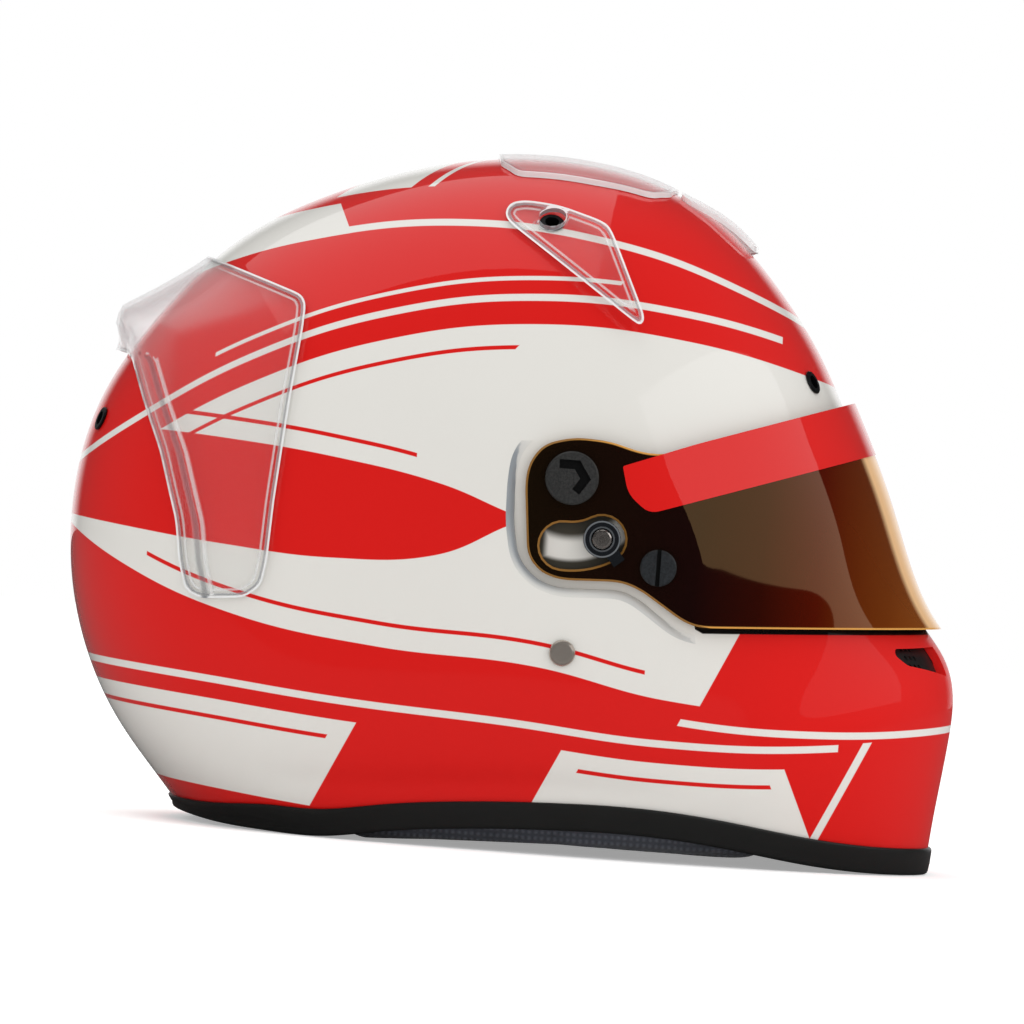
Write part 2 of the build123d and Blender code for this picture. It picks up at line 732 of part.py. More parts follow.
# Pivots: a boss that the arm turns on, a cap that holds it, and a nut inside the shell
with BuildPart() as pivot_boss:
    with BuildSketch(side_plane(pivot_x, pivot_z, recess_floor + shaft_gap)):
        Circle(boss_radius)
        Circle(pivot_stem_radius + shaft_gap, mode=Mode.SUBTRACT)
    extrude(amount=arm_gap + visor_thickness + seat_gap / 2)
write_pair(pivot_boss.part, "pivot_boss")

cap_base = arm_outer + seat_gap
with BuildPart() as pivot_cap:
    with BuildSketch(side_plane(pivot_x, pivot_z, cap_base)):
        Circle(cap_radius)
    extrude(amount=cap_height)
    chamfer(faces().sort_by(Axis.Y)[0].edges(), cap_edge)
    with BuildSketch(side_plane(pivot_x, pivot_z, cap_base + cap_height - cap_groove_depth)):
        with BuildLine():
            elbow = [(-cap_radius / 2, cap_radius / 2), (cap_radius / 6, cap_radius / 2)]
            elbow += [(cap_radius / 2, 0), (cap_radius / 6, -cap_radius / 2)]
            Polyline(*elbow)
        trace(line_width=cap_groove_width)
    extrude(amount=cap_height, mode=Mode.SUBTRACT)
    with BuildSketch(side_plane(pivot_x, pivot_z, boss_back)):
        Circle(pivot_stem_radius)
    extrude(amount=cap_base - boss_back)
write_pair(pivot_cap.part, "pivot_cap")

with BuildPart() as pivot_nut:
    with BuildSketch(side_plane(pivot_x, pivot_z, boss_back - seat_gap / 2 - nut_flange)):
        Circle(nut_radius)
    extrude(amount=nut_flange)
    with BuildSketch(side_plane(pivot_x, pivot_z, boss_back - seat_gap)):
        Circle(nut_barrel_radius)
    extrude(amount=shell_wall + seat_gap)
    with BuildSketch(side_plane(pivot_x, pivot_z, boss_back - nut_flange * 2)):
        Circle(pivot_stem_radius + shaft_gap)
    extrude(amount=cut_overrun, mode=Mode.SUBTRACT)
write_pair(pivot_nut.part, "pivot_nut")

# Visor locks: a post in the shell, a cam ring that turns on it and a button-head screw
post_top = arm_outer + seat_gap
with BuildPart() as lock_post:
    with BuildSketch(side_plane(lock_x, lock_z, boss_back - seat_gap / 2 - nut_flange)):
        Circle(post_flange_radius)
    extrude(amount=nut_flange)
    with BuildSketch(side_plane(lock_x, lock_z, boss_back - seat_gap)):
        Circle(post_radius)
    extrude(amount=post_top - boss_back + seat_gap)
    with BuildSketch(side_plane(lock_x, lock_z, recess_floor)):
        Circle(screw_shank_radius + shaft_gap)
    extrude(amount=cut_overrun, mode=Mode.SUBTRACT)
write_pair(lock_post.part, "lock_post")

with BuildPart() as lock_cam:
    with BuildSketch(side_plane(lock_x, lock_z, recess_floor + seat_gap)):
        Circle(cam_radius)
        Circle(post_radius + shaft_gap, mode=Mode.SUBTRACT)
    extrude(amount=post_top - recess_floor - seat_gap)
    with BuildSketch(side_plane(lock_x, lock_z, post_top - shaft_gap)):
        Circle(cam_radius)
        Circle(screw_head_radius + seat_gap, mode=Mode.SUBTRACT)
        with Locations(Pos(0, 0) * Rot(0, 0, cam_tab_angle)):
            with Locations((cam_radius + cam_tab_length / 2 - cam_rise, 0)):
                Rectangle(cam_tab_length, cam_tab_width)
        Circle(screw_head_radius + seat_gap, mode=Mode.SUBTRACT)
    extrude(amount=cam_rise)
write_pair(lock_cam.part, "lock_cam")

with BuildPart() as lock_screw:
    with BuildSketch(side_plane(lock_x, lock_z, post_top + shaft_gap)):
        Circle(screw_head_radius)
    extrude(amount=screw_head_height)
    fillet(faces().sort_by(Axis.Y)[0].edges(), screw_head_height / 2)
    with BuildSketch(side_plane(lock_x, lock_z, post_top + screw_head_height - screw_socket_depth)):
        RegularPolygon(screw_socket_radius, 6)
    extrude(amount=cut_overrun, mode=Mode.SUBTRACT)
    with BuildSketch(side_plane(lock_x, lock_z, recess_floor + seat_gap)):
        Circle(screw_shank_radius)
    extrude(amount=post_top - recess_floor - seat_gap + 2 * shaft_gap)
write_pair(lock_screw.part, "lock_screw")

# Tear-off posts: slotted buttons that turn in the visor, with a washer inside
with BuildPart() as tear_off_post:
    with BuildSketch(side_plane(tear_x, tear_z, arm_outer + seat_gap)):
        Circle(tear_radius)
    extrude(amount=tear_height)
    chamfer(faces().sort_by(Axis.Y)[0].edges(), cap_edge)
    with BuildSketch(side_plane(tear_x, tear_z, arm_outer + seat_gap + tear_height - tear_slot_depth)):
        Rectangle(2 * tear_radius, tear_slot_width, rotation=90)
    extrude(amount=tear_height, mode=Mode.SUBTRACT)
    with BuildSketch(side_plane(tear_x, tear_z, arm_inner - seat_gap)):
        Circle(tear_stem_radius)
    extrude(amount=visor_thickness + 3 * seat_gap)
    with BuildSketch(side_plane(tear_x, tear_z, arm_inner - seat_gap - tear_washer_thickness)):
        Circle(tear_washer_radius)
    extrude(amount=tear_washer_thickness)
write_pair(tear_off_post.part, "tear_off_post")

# Chin strap anchors: domed rivets through the shell and plates inside it
with BuildPart() as strap_rivets:
    for plane, side in zip(both_sides(rivet_shares), (-1, 1)):
        with BuildSketch(plane.offset(shaft_gap)):
            Circle(rivet_head_radius)
        extrude(amount=rivet_head_height)
        fillet(faces().sort_by(Axis.Y)[-1 if side > 0 else 0].edges(), rivet_head_height * 0.8)
        with BuildSketch(plane.offset(-rivet_length)):
            Circle(rivet_shank_radius)
        extrude(amount=rivet_length + 2 * shaft_gap)
write(strap_rivets.part, "strap_rivets")

with BuildPart() as strap_anchor_plate:
    with BuildSketch(side_plane(rivet_x, rivet_z, plate_y)):
        RectangleRounded(anchor_width, anchor_height, anchor_corner)
        Circle(rivet_shank_radius + seat_gap, mode=Mode.SUBTRACT)
    extrude(amount=anchor_thickness)
write_pair(strap_anchor_plate.part, "strap_anchor_plate")

# Chin strap: webbing from the anchors through the cheek pads, with a double D-ring on the right
strap_start = (tab_y, rivet_z + anchor_height / 2 - strap_slot_side)
strap_turn = (tab_y, strap_slot_z)
strap_drop = (strap_hang, strap_slot_z)
strap_section = Plane(origin=(rivet_x, -strap_start[0], strap_start[1]), x_dir=(1, 0, 0), z_dir=(0, 0, -1))


def strap_along(route, bends, section):
    """Webbing swept along a route of across and height values, with a bend at each corner."""
    with BuildPart() as strap:
        with BuildLine():
            FilletPolyline(*[(rivet_x, -across, height) for across, height in route], radius=bends)
        with BuildSketch(section):
            Rectangle(strap_width, strap_thickness)
        sweep()
    return strap.part


eye_top = ring_bar_height + ring_wire + shaft_gap + eye_wall
with BuildPart() as chin_strap_right:
    add(strap_along([strap_start, strap_turn, strap_drop, (strap_hang, eye_top - eye_wall / 2)],
                    [strap_bend, strap_bend], strap_section))
    with BuildSketch(Plane(origin=(rivet_x, 0, 0), x_dir=(0, 1, 0), z_dir=(1, 0, 0))):
        with Locations((-strap_hang, ring_bar_height)):
            SlotCenterToCenter(ring_pitch, 2 * (ring_wire + shaft_gap + eye_wall))
    extrude(amount=strap_width / 2, both=True)
    with BuildSketch(Plane(origin=(rivet_x, 0, 0), x_dir=(0, 1, 0), z_dir=(1, 0, 0))):
        with Locations((-strap_hang, ring_bar_height)):
            SlotCenterToCenter(ring_pitch, 2 * (ring_wire + shaft_gap))
    extrude(amount=strap_width, both=True, mode=Mode.SUBTRACT)
    with BuildSketch(side_plane(rivet_x, rivet_z, 0)):
        Circle(rivet_shank_radius + 2 * seat_gap)
    extrude(amount=shell_width, mode=Mode.SUBTRACT)
write(chin_strap_right.part, "chin_strap_right")

with BuildPart() as left_strap_form:
    route = [strap_start, strap_turn, strap_drop, (strap_hang, tail_height), (-tail_reach, tail_height)]
    add(strap_along(route, [strap_bend, strap_bend, tail_bend], strap_section))
    with BuildSketch(side_plane(rivet_x, rivet_z, 0)):
        Circle(rivet_shank_radius + 2 * seat_gap)
    extrude(amount=shell_width, mode=Mode.SUBTRACT)
with BuildPart() as chin_strap_left:
    mirror(left_strap_form.part, about=Plane.XZ)
write(chin_strap_left.part, "chin_strap_left")

for label, shift in (("d_ring_outer", -ring_pitch / 2), ("d_ring_inner", ring_pitch / 2)):
    with BuildPart() as d_ring:
        across = -strap_hang + shift
        low = ring_bar_height - ring_height
        half = ring_width / 2
        corners = [(-half, ring_bar_height), (half, ring_bar_height), (half, (low + ring_bar_height) / 2)]
        corners += [(half / 2, low), (-half / 2, low), (-half, (low + ring_bar_height) / 2)]
        with BuildLine() as bow:
            FilletPolyline(*[(rivet_x + x, across, z) for x, z in corners],
                           radius=[ring_corner] * len(corners), close=True)
        with BuildSketch(Plane(origin=(rivet_x, across, ring_bar_height), z_dir=(1, 0, 0))):
            Circle(ring_wire)
        sweep(path=bow.wires()[0])
    write(d_ring.part, label)


# Clear aerodynamic parts, seated on the shell
def spoiler_lift_at(x, y, z):
    """How far the spoiler stands off: nothing at its seat, most at a ridge, less again at its free edge."""
    points = np.array(side_points(spoiler_shares))
    top, side = points[0], points[2]
    slope = math.hypot(*(side - top))
    below = ((top[1] - z) * (side[0] - top[0]) - (top[0] - x) * (side[1] - top[1])) / slope
    tab = (z - points[:, 1].min() - spoiler_tab_height) * spoiler_tab_steepness
    seated = np.minimum(np.minimum(below, side[0] - x), tab)
    rise = np.clip(seated / (spoiler_run_share * shell_length), 0, 1) ** spoiler_rise_power
    high = smooth(z, spoiler_blend_shares[0] * shell_height, spoiler_blend_shares[1] * shell_height)
    lift = (spoiler_wing_lift + (spoiler_lift - spoiler_wing_lift) * high) * rise
    free = points[11:18]
    ahead = (x - np.interp(z, free[:, 1], free[:, 0])) / spoiler_face_width
    past = np.clip(np.maximum(ahead, (z - free[-1, 1]) / spoiler_face_height), 0, 1)
    return lift * (1 - spoiler_face_share * (1 - past))


def clear_part(block, lift, seat=seat_gap, **grid):
    """The solids of a clear part: a sheet over the shell, at a lift that may follow the place."""
    return between(
        block,
        skin(lambda x, y, z: -seat - lift(x, y, z) - clear_thickness, **grid),
        skin(lambda x, y, z: -seat - lift(x, y, z), **grid),
        clear_thickness,
    )


with BuildPart() as rear_spoiler:
    grid = dict(rows=spoiler_rows, columns=spoiler_columns, angles=np.radians(spoiler_angles))
    add(clear_part(side_block(spoiler_shares), spoiler_lift_at, spoiler_tape, **grid))
write(rear_spoiler.part, "rear_spoiler")


def deflector_lift_at(x, y, z):
    """The side deflectors rise towards their front edge."""
    front_x, front_z = side_points(deflector_shares)[5]
    tip_x, tip_z = side_points(deflector_shares)[6]
    ahead = x - (tip_x - front_x) / (tip_z - front_z) * (z - front_z)
    return deflector_lift * smooth(ahead, front_x - deflector_run_share * shell_length, front_x)


with BuildPart() as side_deflector:
    add(clear_part(side_block(deflector_shares, corner=clear_corner / 2, sides=(-1,)), deflector_lift_at))
    with Locations(both_sides(crown_hole_shares)[0]):
        Cylinder(ferrule_radius + seat_gap, cut_overrun, mode=Mode.SUBTRACT)
write_pair(side_deflector.part, "side_deflector")

with BuildPart() as top_deflector:
    add(clear_part(plan_block(top_shares), lambda x, y, z: 0 * x))
write(top_deflector.part, "top_deflector")


def strip_lift_at(x, y, z):
    """The front strip rises towards its front edge."""
    back, front = front_strip_shares[1][0] * shell_length, front_strip_shares[3][0] * shell_length
    return front_strip_lift * smooth(x, back, front)


with BuildPart() as front_strip:
    add(clear_part(plan_block(front_strip_shares), strip_lift_at))
write(front_strip.part, "front_strip")
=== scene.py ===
import math

import bmesh
import bpy
import numpy as np
from mathutils import Matrix, Vector
from mathutils.bvhtree import BVHTree


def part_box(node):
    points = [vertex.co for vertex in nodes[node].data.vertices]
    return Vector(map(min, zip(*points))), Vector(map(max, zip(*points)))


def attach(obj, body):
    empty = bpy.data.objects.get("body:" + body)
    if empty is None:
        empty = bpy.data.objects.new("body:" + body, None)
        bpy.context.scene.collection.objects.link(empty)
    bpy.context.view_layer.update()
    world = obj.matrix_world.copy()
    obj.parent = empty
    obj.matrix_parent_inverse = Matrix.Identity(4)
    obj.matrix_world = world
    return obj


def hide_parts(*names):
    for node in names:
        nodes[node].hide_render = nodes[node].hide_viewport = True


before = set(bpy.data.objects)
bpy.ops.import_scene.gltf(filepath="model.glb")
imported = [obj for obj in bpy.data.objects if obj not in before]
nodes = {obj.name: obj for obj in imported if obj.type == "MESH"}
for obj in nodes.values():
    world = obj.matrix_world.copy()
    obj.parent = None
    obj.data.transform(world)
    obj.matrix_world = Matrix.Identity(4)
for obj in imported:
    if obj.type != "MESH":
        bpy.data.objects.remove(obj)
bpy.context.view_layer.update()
mm = 0.001

# Stage: floor, light and the camera, which is rolled a little as the picture is
stage = {
    "cameraDistance": 3.6, "fieldWidth": 0.3994, "sensor": 36.0,
    "aim": (-0.0026, 0.1284), "roll": 4.4, "floorReach": 6.0,
    "worldDiffuse": 0.90, "worldGloss": 0.03, "backdrop": (0.87, 0.975),
    "paper": 0.93, "floorGlow": 0.34, "floorInGloss": 0.10,
    "lamps": [  # place, aimed at, width, height, watts
        ((-0.5, 0.5, 1.6), (-0.5, 0.49, 0.0), 1.6, 2.0, 6.5),
        ((1.5, -0.6, 0.97), (0.0, 0.0, 0.15), 2.6, 1.0, 6.2),
    ],
}


def linearColour(code):
    # sRGB hex to linear light: a straight line near black, then a power of 2.4
    values = np.array([int(code[i:i + 2], 16) for i in (1, 3, 5)]) / 255
    linear = np.where(values <= 0.04045, values / 12.92, ((values + 0.055) / 1.055) ** 2.4)
    return (*[float(v) for v in linear], 1.0)


def addNode(tree, kind, inputs=None, **settings):
    # adds a node, sets its fields, and links or fills its inputs
    node = tree.nodes.new(kind)
    for field, value in settings.items():
        setattr(node, field, value)
    for key, value in (inputs or {}).items():
        if isinstance(value, bpy.types.NodeSocket):
            tree.links.new(value, node.inputs[key])
        else:
            node.inputs[key].default_value = value
    return node


def ramp(tree, value, start, end, low=0.0, high=1.0, soft=True):
    # a value's share of the way from start to end, eased where soft
    kind = "SMOOTHSTEP" if soft else "LINEAR"
    inputs = {0: value, 1: start, 2: end, 3: low, 4: high}
    return addNode(tree, "ShaderNodeMapRange", inputs, interpolation_type=kind).outputs[0]


def calc(tree, operation, *values):
    # one step of arithmetic
    return addNode(tree, "ShaderNodeMath", dict(enumerate(values)), operation=operation).outputs[0]


def mix(tree, share, first, second, blend="MIX"):
    # one colour laid over another
    inputs = {0: share, 6: first, 7: second}
    return addNode(tree, "ShaderNodeMix", inputs, data_type="RGBA", blend_type=blend).outputs[2]


def axesOf(tree, place):
    return addNode(tree, "ShaderNodeSeparateXYZ", {0: place}).outputs


def noise(tree, place, scale, detail):
    return addNode(tree, "ShaderNodeTexNoise", {"Vector": place, "Scale": scale, "Detail": detail}).outputs[0]


def dent(tree, height, strength, distance):
    inputs = {"Strength": strength, "Distance": distance, "Height": height}
    return addNode(tree, "ShaderNodeBump", inputs).outputs[0]


def flatColour(tree, code):
    colour = addNode(tree, "ShaderNodeRGB").outputs[0]
    colour.default_value = linearColour(code)
    return colour


def surface(tree, inputs):
    # closes a material with its shader
    shader = addNode(tree, "ShaderNodeBsdfPrincipled", inputs)
    addNode(tree, "ShaderNodeOutputMaterial", {0: shader.outputs[0]})
    return shader


def placed(name, data):
    # a new object in the scene
    piece = bpy.data.objects.new(name, data)
    bpy.context.scene.collection.objects.link(piece)
    return piece


def newMaterial(name):
    # an empty material, its node tree, and the place on the piece in metres
    material = bpy.data.materials.new(name)
    material.use_nodes = True
    tree = material.node_tree
    tree.nodes.clear()
    return material, tree, addNode(tree, "ShaderNodeTexCoord").outputs["Object"]


def makeWorld():
    # white where the eye or clear plastic looks past the helmet; for gloss a pale backdrop and a dim room
    world = bpy.data.worlds.new("studioWorld")
    world.use_nodes = True
    tree = world.node_tree
    tree.nodes.clear()
    path = addNode(tree, "ShaderNodeLightPath").outputs
    ahead = axesOf(tree, addNode(tree, "ShaderNodeTexCoord").outputs["Generated"])[1]
    mirrored = path["Is Glossy Ray"]
    gloss = calc(tree, "MULTIPLY", mirrored, ramp(tree, ahead, *stage["backdrop"], stage["worldGloss"]))
    diffuse = calc(tree, "MULTIPLY", calc(tree, "SUBTRACT", 1.0, mirrored), stage["worldDiffuse"])
    seen = calc(tree, "MAXIMUM", path["Is Camera Ray"], path["Is Transmission Ray"])
    strength = calc(tree, "MAXIMUM", calc(tree, "ADD", gloss, diffuse), seen)
    background = addNode(tree, "ShaderNodeBackground", {0: (1, 1, 1, 1), 1: strength})
    addNode(tree, "ShaderNodeOutputWorld", {0: background.outputs[0]})
    bpy.context.scene.world = world


def makeStage():
    makeWorld()
    reach = stage["floorReach"]
    corners = [(-reach, -reach, 0), (reach, -reach, 0), (reach, reach, 0), (-reach, reach, 0)]
    floorMesh = bpy.data.meshes.new("studioFloor")
    floorMesh.from_pydata(corners, [], [(0, 1, 2, 3)])
    floor = placed("studioFloor", floorMesh)
    # matt paper: a white that keeps the shadow, with the light that the eye misses given back
    material, tree, _ = newMaterial("mattPaperFloor")
    path = addNode(tree, "ShaderNodeLightPath").outputs
    pale, dim = (stage["paper"],) * 3 + (1,), (stage["floorInGloss"],) * 3 + (1,)
    paper = addNode(tree, "ShaderNodeBsdfDiffuse", {0: mix(tree, path["Is Glossy Ray"], pale, dim)})
    glow, none = [
        addNode(tree, "ShaderNodeEmission", {0: (1, 1, 1, 1), 1: strength}).outputs[0]
        for strength in (stage["floorGlow"], 0.0)]
    seen = addNode(tree, "ShaderNodeMixShader", {0: path["Is Camera Ray"], 1: none, 2: glow})
    total = addNode(tree, "ShaderNodeAddShader", {0: paper.outputs[0], 1: seen.outputs[0]})
    addNode(tree, "ShaderNodeOutputMaterial", {0: total.outputs[0]})
    floorMesh.materials.append(material)
    for place, aim, width, height, watts in stage["lamps"]:
        lamp = bpy.data.lights.new("softbox", "AREA")
        lamp.shape, lamp.size, lamp.size_y, lamp.energy = "RECTANGLE", width, height, watts
        box = placed("softbox", lamp)
        box.location = place
        box.rotation_euler = (Vector(aim) - Vector(place)).to_track_quat("-Z", "Y").to_euler()
    camera = bpy.data.cameras.new("pictureCamera")
    camera.sensor_width = stage["sensor"]
    camera.lens = stage["sensor"] * stage["cameraDistance"] / stage["fieldWidth"]
    camera.clip_start, camera.clip_end = 0.1, 50.0
    eye = placed("pictureCamera", camera)
    across, high = stage["aim"]
    c, s = math.cos(math.radians(stage["roll"])), math.sin(math.radians(stage["roll"]))
    eye.matrix_world = Matrix((
        (c, -s, 0, across), (0, 0, -1, -stage["cameraDistance"]), (s, c, 0, high), (0, 0, 0, 1)))
    bpy.context.scene.camera = eye
    bpy.context.scene.view_settings.view_transform = "Standard"
    print("stage: floor, softboxes and camera")


makeStage()

# The shell's form, in millimetres, the same as the solid part's
shell = {
    "length": 348.0, "width": 245.0, "height": 266.0, "wall": 3.0, "poleShare": -0.053,
    "profileShares": [
        (-0.323, -0.039), (-0.358, 0.024), (-0.394, 0.079), (-0.428, 0.134), (-0.474, 0.247),
        (-0.496, 0.363), (-0.4975, 0.480), (-0.477, 0.599), (-0.418, 0.732), (-0.335, 0.850),
        (-0.227, 0.932), (-0.116, 0.982), (-0.006, 1.000), (0.084, 0.990), (0.177, 0.947),
        (0.224, 0.903), (0.273, 0.836), (0.323, 0.747), (0.350, 0.682), (0.403, 0.534),
        (0.462, 0.362), (0.484, 0.325), (0.498, 0.284), (0.4995, 0.198), (0.489, 0.079),
        (0.484, 0.013), (0.477, -0.045)],
    "fullness": (2.5, 4.3, 2.05), "tuckShare": 0.26, "tuckDepth": 0.10,
    "neckShares": [
        (-0.60, 0.021), (-0.36, 0.0155), (-0.31, 0.006), (-0.25, 0.0015), (-0.19, 0.0015),
        (-0.13, 0.014), (-0.05, 0.027), (0.07, 0.0365), (0.16, 0.037), (0.25, 0.027),
        (0.35, 0.009), (0.44, 0.0010), (0.50, 0.0005), (0.60, 0.0005)],
    "trimBelow": 2.3, "columns": 104, "rows": 112, "innerRows": 24,
    "eyeportShares": [
        (0.205, 0.440), (0.230, 0.382), (0.300, 0.378), (0.620, 0.392),
        (0.620, 0.660), (0.390, 0.650), (0.245, 0.578), (0.205, 0.525)],
    "recessShares": [
        (-0.0057, 0.530), (-0.003, 0.564), (0.0115, 0.592), (0.0345, 0.609), (0.040, 0.658),
        (0.273, 0.658), (0.273, 0.323), (0.204, 0.327), (0.181, 0.334), (0.135, 0.3745),
        (0.115, 0.384), (0.050, 0.380), (0.0236, 0.3906), (0.0034, 0.4184), (-0.0046, 0.470)],
    "recessFloor": 115.0, "lipRadius": 4.5,
    "ventShares": [(0.17, 0.292), (0.17, 0.334), (0.455, 0.328), (0.470, 0.318), (0.44, 0.305)],
    "holes": [(0.012, 0.900), (0.312, 0.702), (-0.469, 0.572)], "holeRadius": 3.75,
    "groove": [(-95, 22.5), (-67, 21.5), (-32, 23.5), (8, 26.3), (51, 26.2), (75, 25)],
    "grooveDepth": 1.3, "grooveHalf": 5.0,
}


def naturalSpline(knots, values):
    # a natural cubic spline through the values at the knots
    knots, values = np.asarray(knots, float), np.asarray(values, float)
    count, steps = len(knots), np.diff(knots)
    slopes = np.diff(values) / steps
    matrix = np.eye(count)
    inner = np.arange(1, count - 1)
    matrix[inner, inner - 1], matrix[inner, inner] = steps[:-1], 2 * (steps[:-1] + steps[1:])
    matrix[inner, inner + 1] = steps[1:]
    bends = np.linalg.solve(matrix, np.concatenate([[0], 6 * np.diff(slopes), [0]]))

    def curve(at):
        at = np.asarray(at, float)
        cell = np.clip(np.searchsorted(knots, at) - 1, 0, count - 2)
        step, after, before = steps[cell], at - knots[cell], knots[cell + 1] - at
        cubic = (bends[cell] * before**3 + bends[cell + 1] * after**3) / (6 * step)
        start = (values[cell] / step - bends[cell] * step / 6) * before
        return cubic + start + (values[cell + 1] / step - bends[cell + 1] * step / 6) * after

    return curve


def outlineOf(shares):
    return np.array(shares, float) * (shell["length"], shell["height"])


pole = shell["poleShare"] * shell["height"]
profile = outlineOf(shell["profileShares"])
profileAngles = np.arctan2(profile[:, 1] - pole, -profile[:, 0])
profileRadius = naturalSpline(profileAngles, np.hypot(profile[:, 0], profile[:, 1] - pole))
neckPoints = outlineOf(shell["neckShares"])
neckLine = naturalSpline(neckPoints[:, 0], neckPoints[:, 1] + shell["trimBelow"])
grooveLine = naturalSpline(*np.array(shell["groove"], float).T)


def smooth(value, start, end):
    share = np.clip((value - start) / (end - start), 0, 1)
    return share * share * (3 - 2 * share)


def fullnessAt(angle):
    rear, top, front = shell["fullness"]
    end = np.where(np.cos(angle) > 0, rear, front)
    return end + (top - end) * np.sin(angle) ** 2


def widthAt(z):
    low = np.clip(1 - z / (shell["tuckShare"] * shell["height"]), 0, None)
    return shell["width"] / 2 * (1 - shell["tuckDepth"] * low**2)


def angleAt(x, z):
    return np.clip(np.arctan2(z - pole, -x), profileAngles[0], profileAngles[-1])


def domeValue(x, y, z, inset):
    # above nothing outside the dome: reach to the fullness power, plus the square of the share of the width
    angle = angleAt(x, z)
    reach = np.hypot(x, z - pole) / (profileRadius(angle) - inset)
    return reach ** fullnessAt(angle) + (y / (widthAt(z) - inset)) ** 2 - 1


def surfaceY(x, z, inset=0.0):
    angle = angleAt(x, z)
    reach = np.hypot(x, z - pole) / (profileRadius(angle) - inset)
    return (widthAt(z) - inset) * np.sqrt(np.clip(1 - reach ** fullnessAt(angle), 0, None))


def normalAt(point):
    # the slope of the dome's value, by small steps either way
    slope = np.array([domeValue(*(point + d), 0.0) - domeValue(*(point - d), 0.0) for d in np.eye(3) * 0.5])
    return slope / np.linalg.norm(slope)


heart = np.array([0.0, 0.0, 118.0])


def castRays(directions, inset):
    # where rays from the middle of the helmet meet the dome, by halving
    near, far = np.zeros(directions.shape[:-1]), np.full(directions.shape[:-1], 300.0)
    for _ in range(44):
        middle = (near + far) / 2
        spot = heart + directions * middle[..., None]
        within = domeValue(spot[..., 0], spot[..., 1], spot[..., 2], inset) < 0
        near, far = np.where(within, middle, near), np.where(within, far, middle)
    return heart + directions * near[..., None]


def rayAt(rise, flat):
    return np.stack([np.cos(rise) * np.cos(flat), np.cos(rise) * np.sin(flat), np.sin(rise)], -1)


def readPoints(mesh):
    flat = np.empty(len(mesh.vertices) * 3)
    mesh.vertices.foreach_get("co", flat)
    return flat.reshape(-1, 3)


def turnOutwards(mesh, weld=None):
    # faces outwards, with points nearer than the weld joined first
    work = bmesh.new()
    work.from_mesh(mesh)
    if weld:
        bmesh.ops.remove_doubles(work, verts=work.verts, dist=weld)
        bmesh.ops.dissolve_degenerate(work, edges=work.edges, dist=weld / 10)
    bmesh.ops.recalc_face_normals(work, faces=work.faces)
    work.to_mesh(mesh)
    work.free()


def gridMesh(name, sheets):
    # joins grids of points into one closed mesh, in metres, with its faces outwards
    points, faces, start = [], [], 0
    for sheet in sheets:
        rows, columns = sheet.shape[:2]
        corner = (np.arange(rows - 1)[:, None] * columns + np.arange(columns - 1)).ravel() + start
        faces.append(np.stack([corner, corner + 1, corner + columns + 1, corner + columns], 1))
        points.append(sheet.reshape(-1, 3))
        start += rows * columns
    mesh = bpy.data.meshes.new(name)
    mesh.from_pydata(np.concatenate(points).tolist(), [], np.concatenate(faces).tolist())
    turnOutwards(mesh, 0.01)
    mesh.transform(Matrix.Scale(mm, 4))
    return placed(name, mesh)


def sheetSolid(name, outer, inner):
    # two grids and the four edges between them, closed
    sides = [np.stack([outer[end], inner[end]]) for end in (0, -1)]
    sides += [np.stack([outer[:, end], inner[:, end]]) for end in (0, -1)]
    return gridMesh(name, [outer, inner] + sides)


def roundedOutline(points, radius, steps=6, closed=True):
    # each corner becomes a parabola that starts and ends a radius away from it, or less on a short side
    points = np.asarray(points, float)
    before, after = np.roll(points, 1, 0) - points, np.roll(points, -1, 0) - points
    lengths = [np.linalg.norm(side, axis=1, keepdims=True) for side in (before, after)]
    radius = np.broadcast_to(np.asarray(radius, float).reshape(-1, 1), (len(points), 1))
    first, last = [
        (points + side / size * np.minimum(radius, 0.45 * size))[:, None]
        for side, size in zip((before, after), lengths)]
    share = np.linspace(0, 1, steps)[None, :, None]
    arcs = (1 - share) ** 2 * first + 2 * share * (1 - share) * points[:, None] + share**2 * last
    if closed:
        return arcs.reshape(-1, points.shape[1])
    return np.concatenate([points[:1], arcs[1:-1].reshape(-1, points.shape[1]), points[-1:]])


def denser(points, step):
    # a closed outline with extra points on its long sides
    after = np.roll(points, -1, 0)
    counts = np.maximum(1, np.ceil(np.linalg.norm(after - points, axis=1) / step).astype(int))
    return np.concatenate([
        a + (b - a) * (np.arange(n) / n)[:, None] for a, b, n in zip(points, after, counts)])


def grownOutline(points, amount):
    # a closed outline moved outwards along its own normals
    along = np.roll(points, -1, 0) - np.roll(points, 1, 0)
    normal = np.stack([along[:, 1], -along[:, 0]], 1) / np.linalg.norm(along, axis=1, keepdims=True)
    area = np.sum(points[:, 0] * np.roll(points[:, 1], -1) - np.roll(points[:, 0], -1) * points[:, 1])
    return points + normal * amount * np.sign(area)


def ringSolid(name, rings, index=0):
    # a cutter: rings of points joined side to side, with a flat face at either end
    rings = np.asarray(rings)
    layers, count = rings.shape[:2]
    layer, around = np.meshgrid(np.arange(layers - 1) * count, np.arange(count), indexing="ij")
    after = (around + 1) % count
    sides = np.stack([layer + around, layer + after, layer + count + after, layer + count + around], -1)
    ends = [list(range(count)), list(range((layers - 1) * count, layers * count))]
    mesh = bpy.data.meshes.new(name)
    mesh.from_pydata((rings.reshape(-1, 3) * mm).tolist(), [], sides.reshape(-1, 4).tolist() + ends)
    turnOutwards(mesh)
    mesh.polygons.foreach_set("material_index", np.full(len(mesh.polygons), index, np.int32))
    for slot in placeholders:
        mesh.materials.append(slot)
    return placed(name, mesh)


placeholders = [bpy.data.materials.new("firstSlot"), bpy.data.materials.new("secondSlot")]


def sideRing(outline, y):
    return np.stack([outline[:, 0], np.broadcast_to(y, len(outline)), outline[:, 1]], 1)


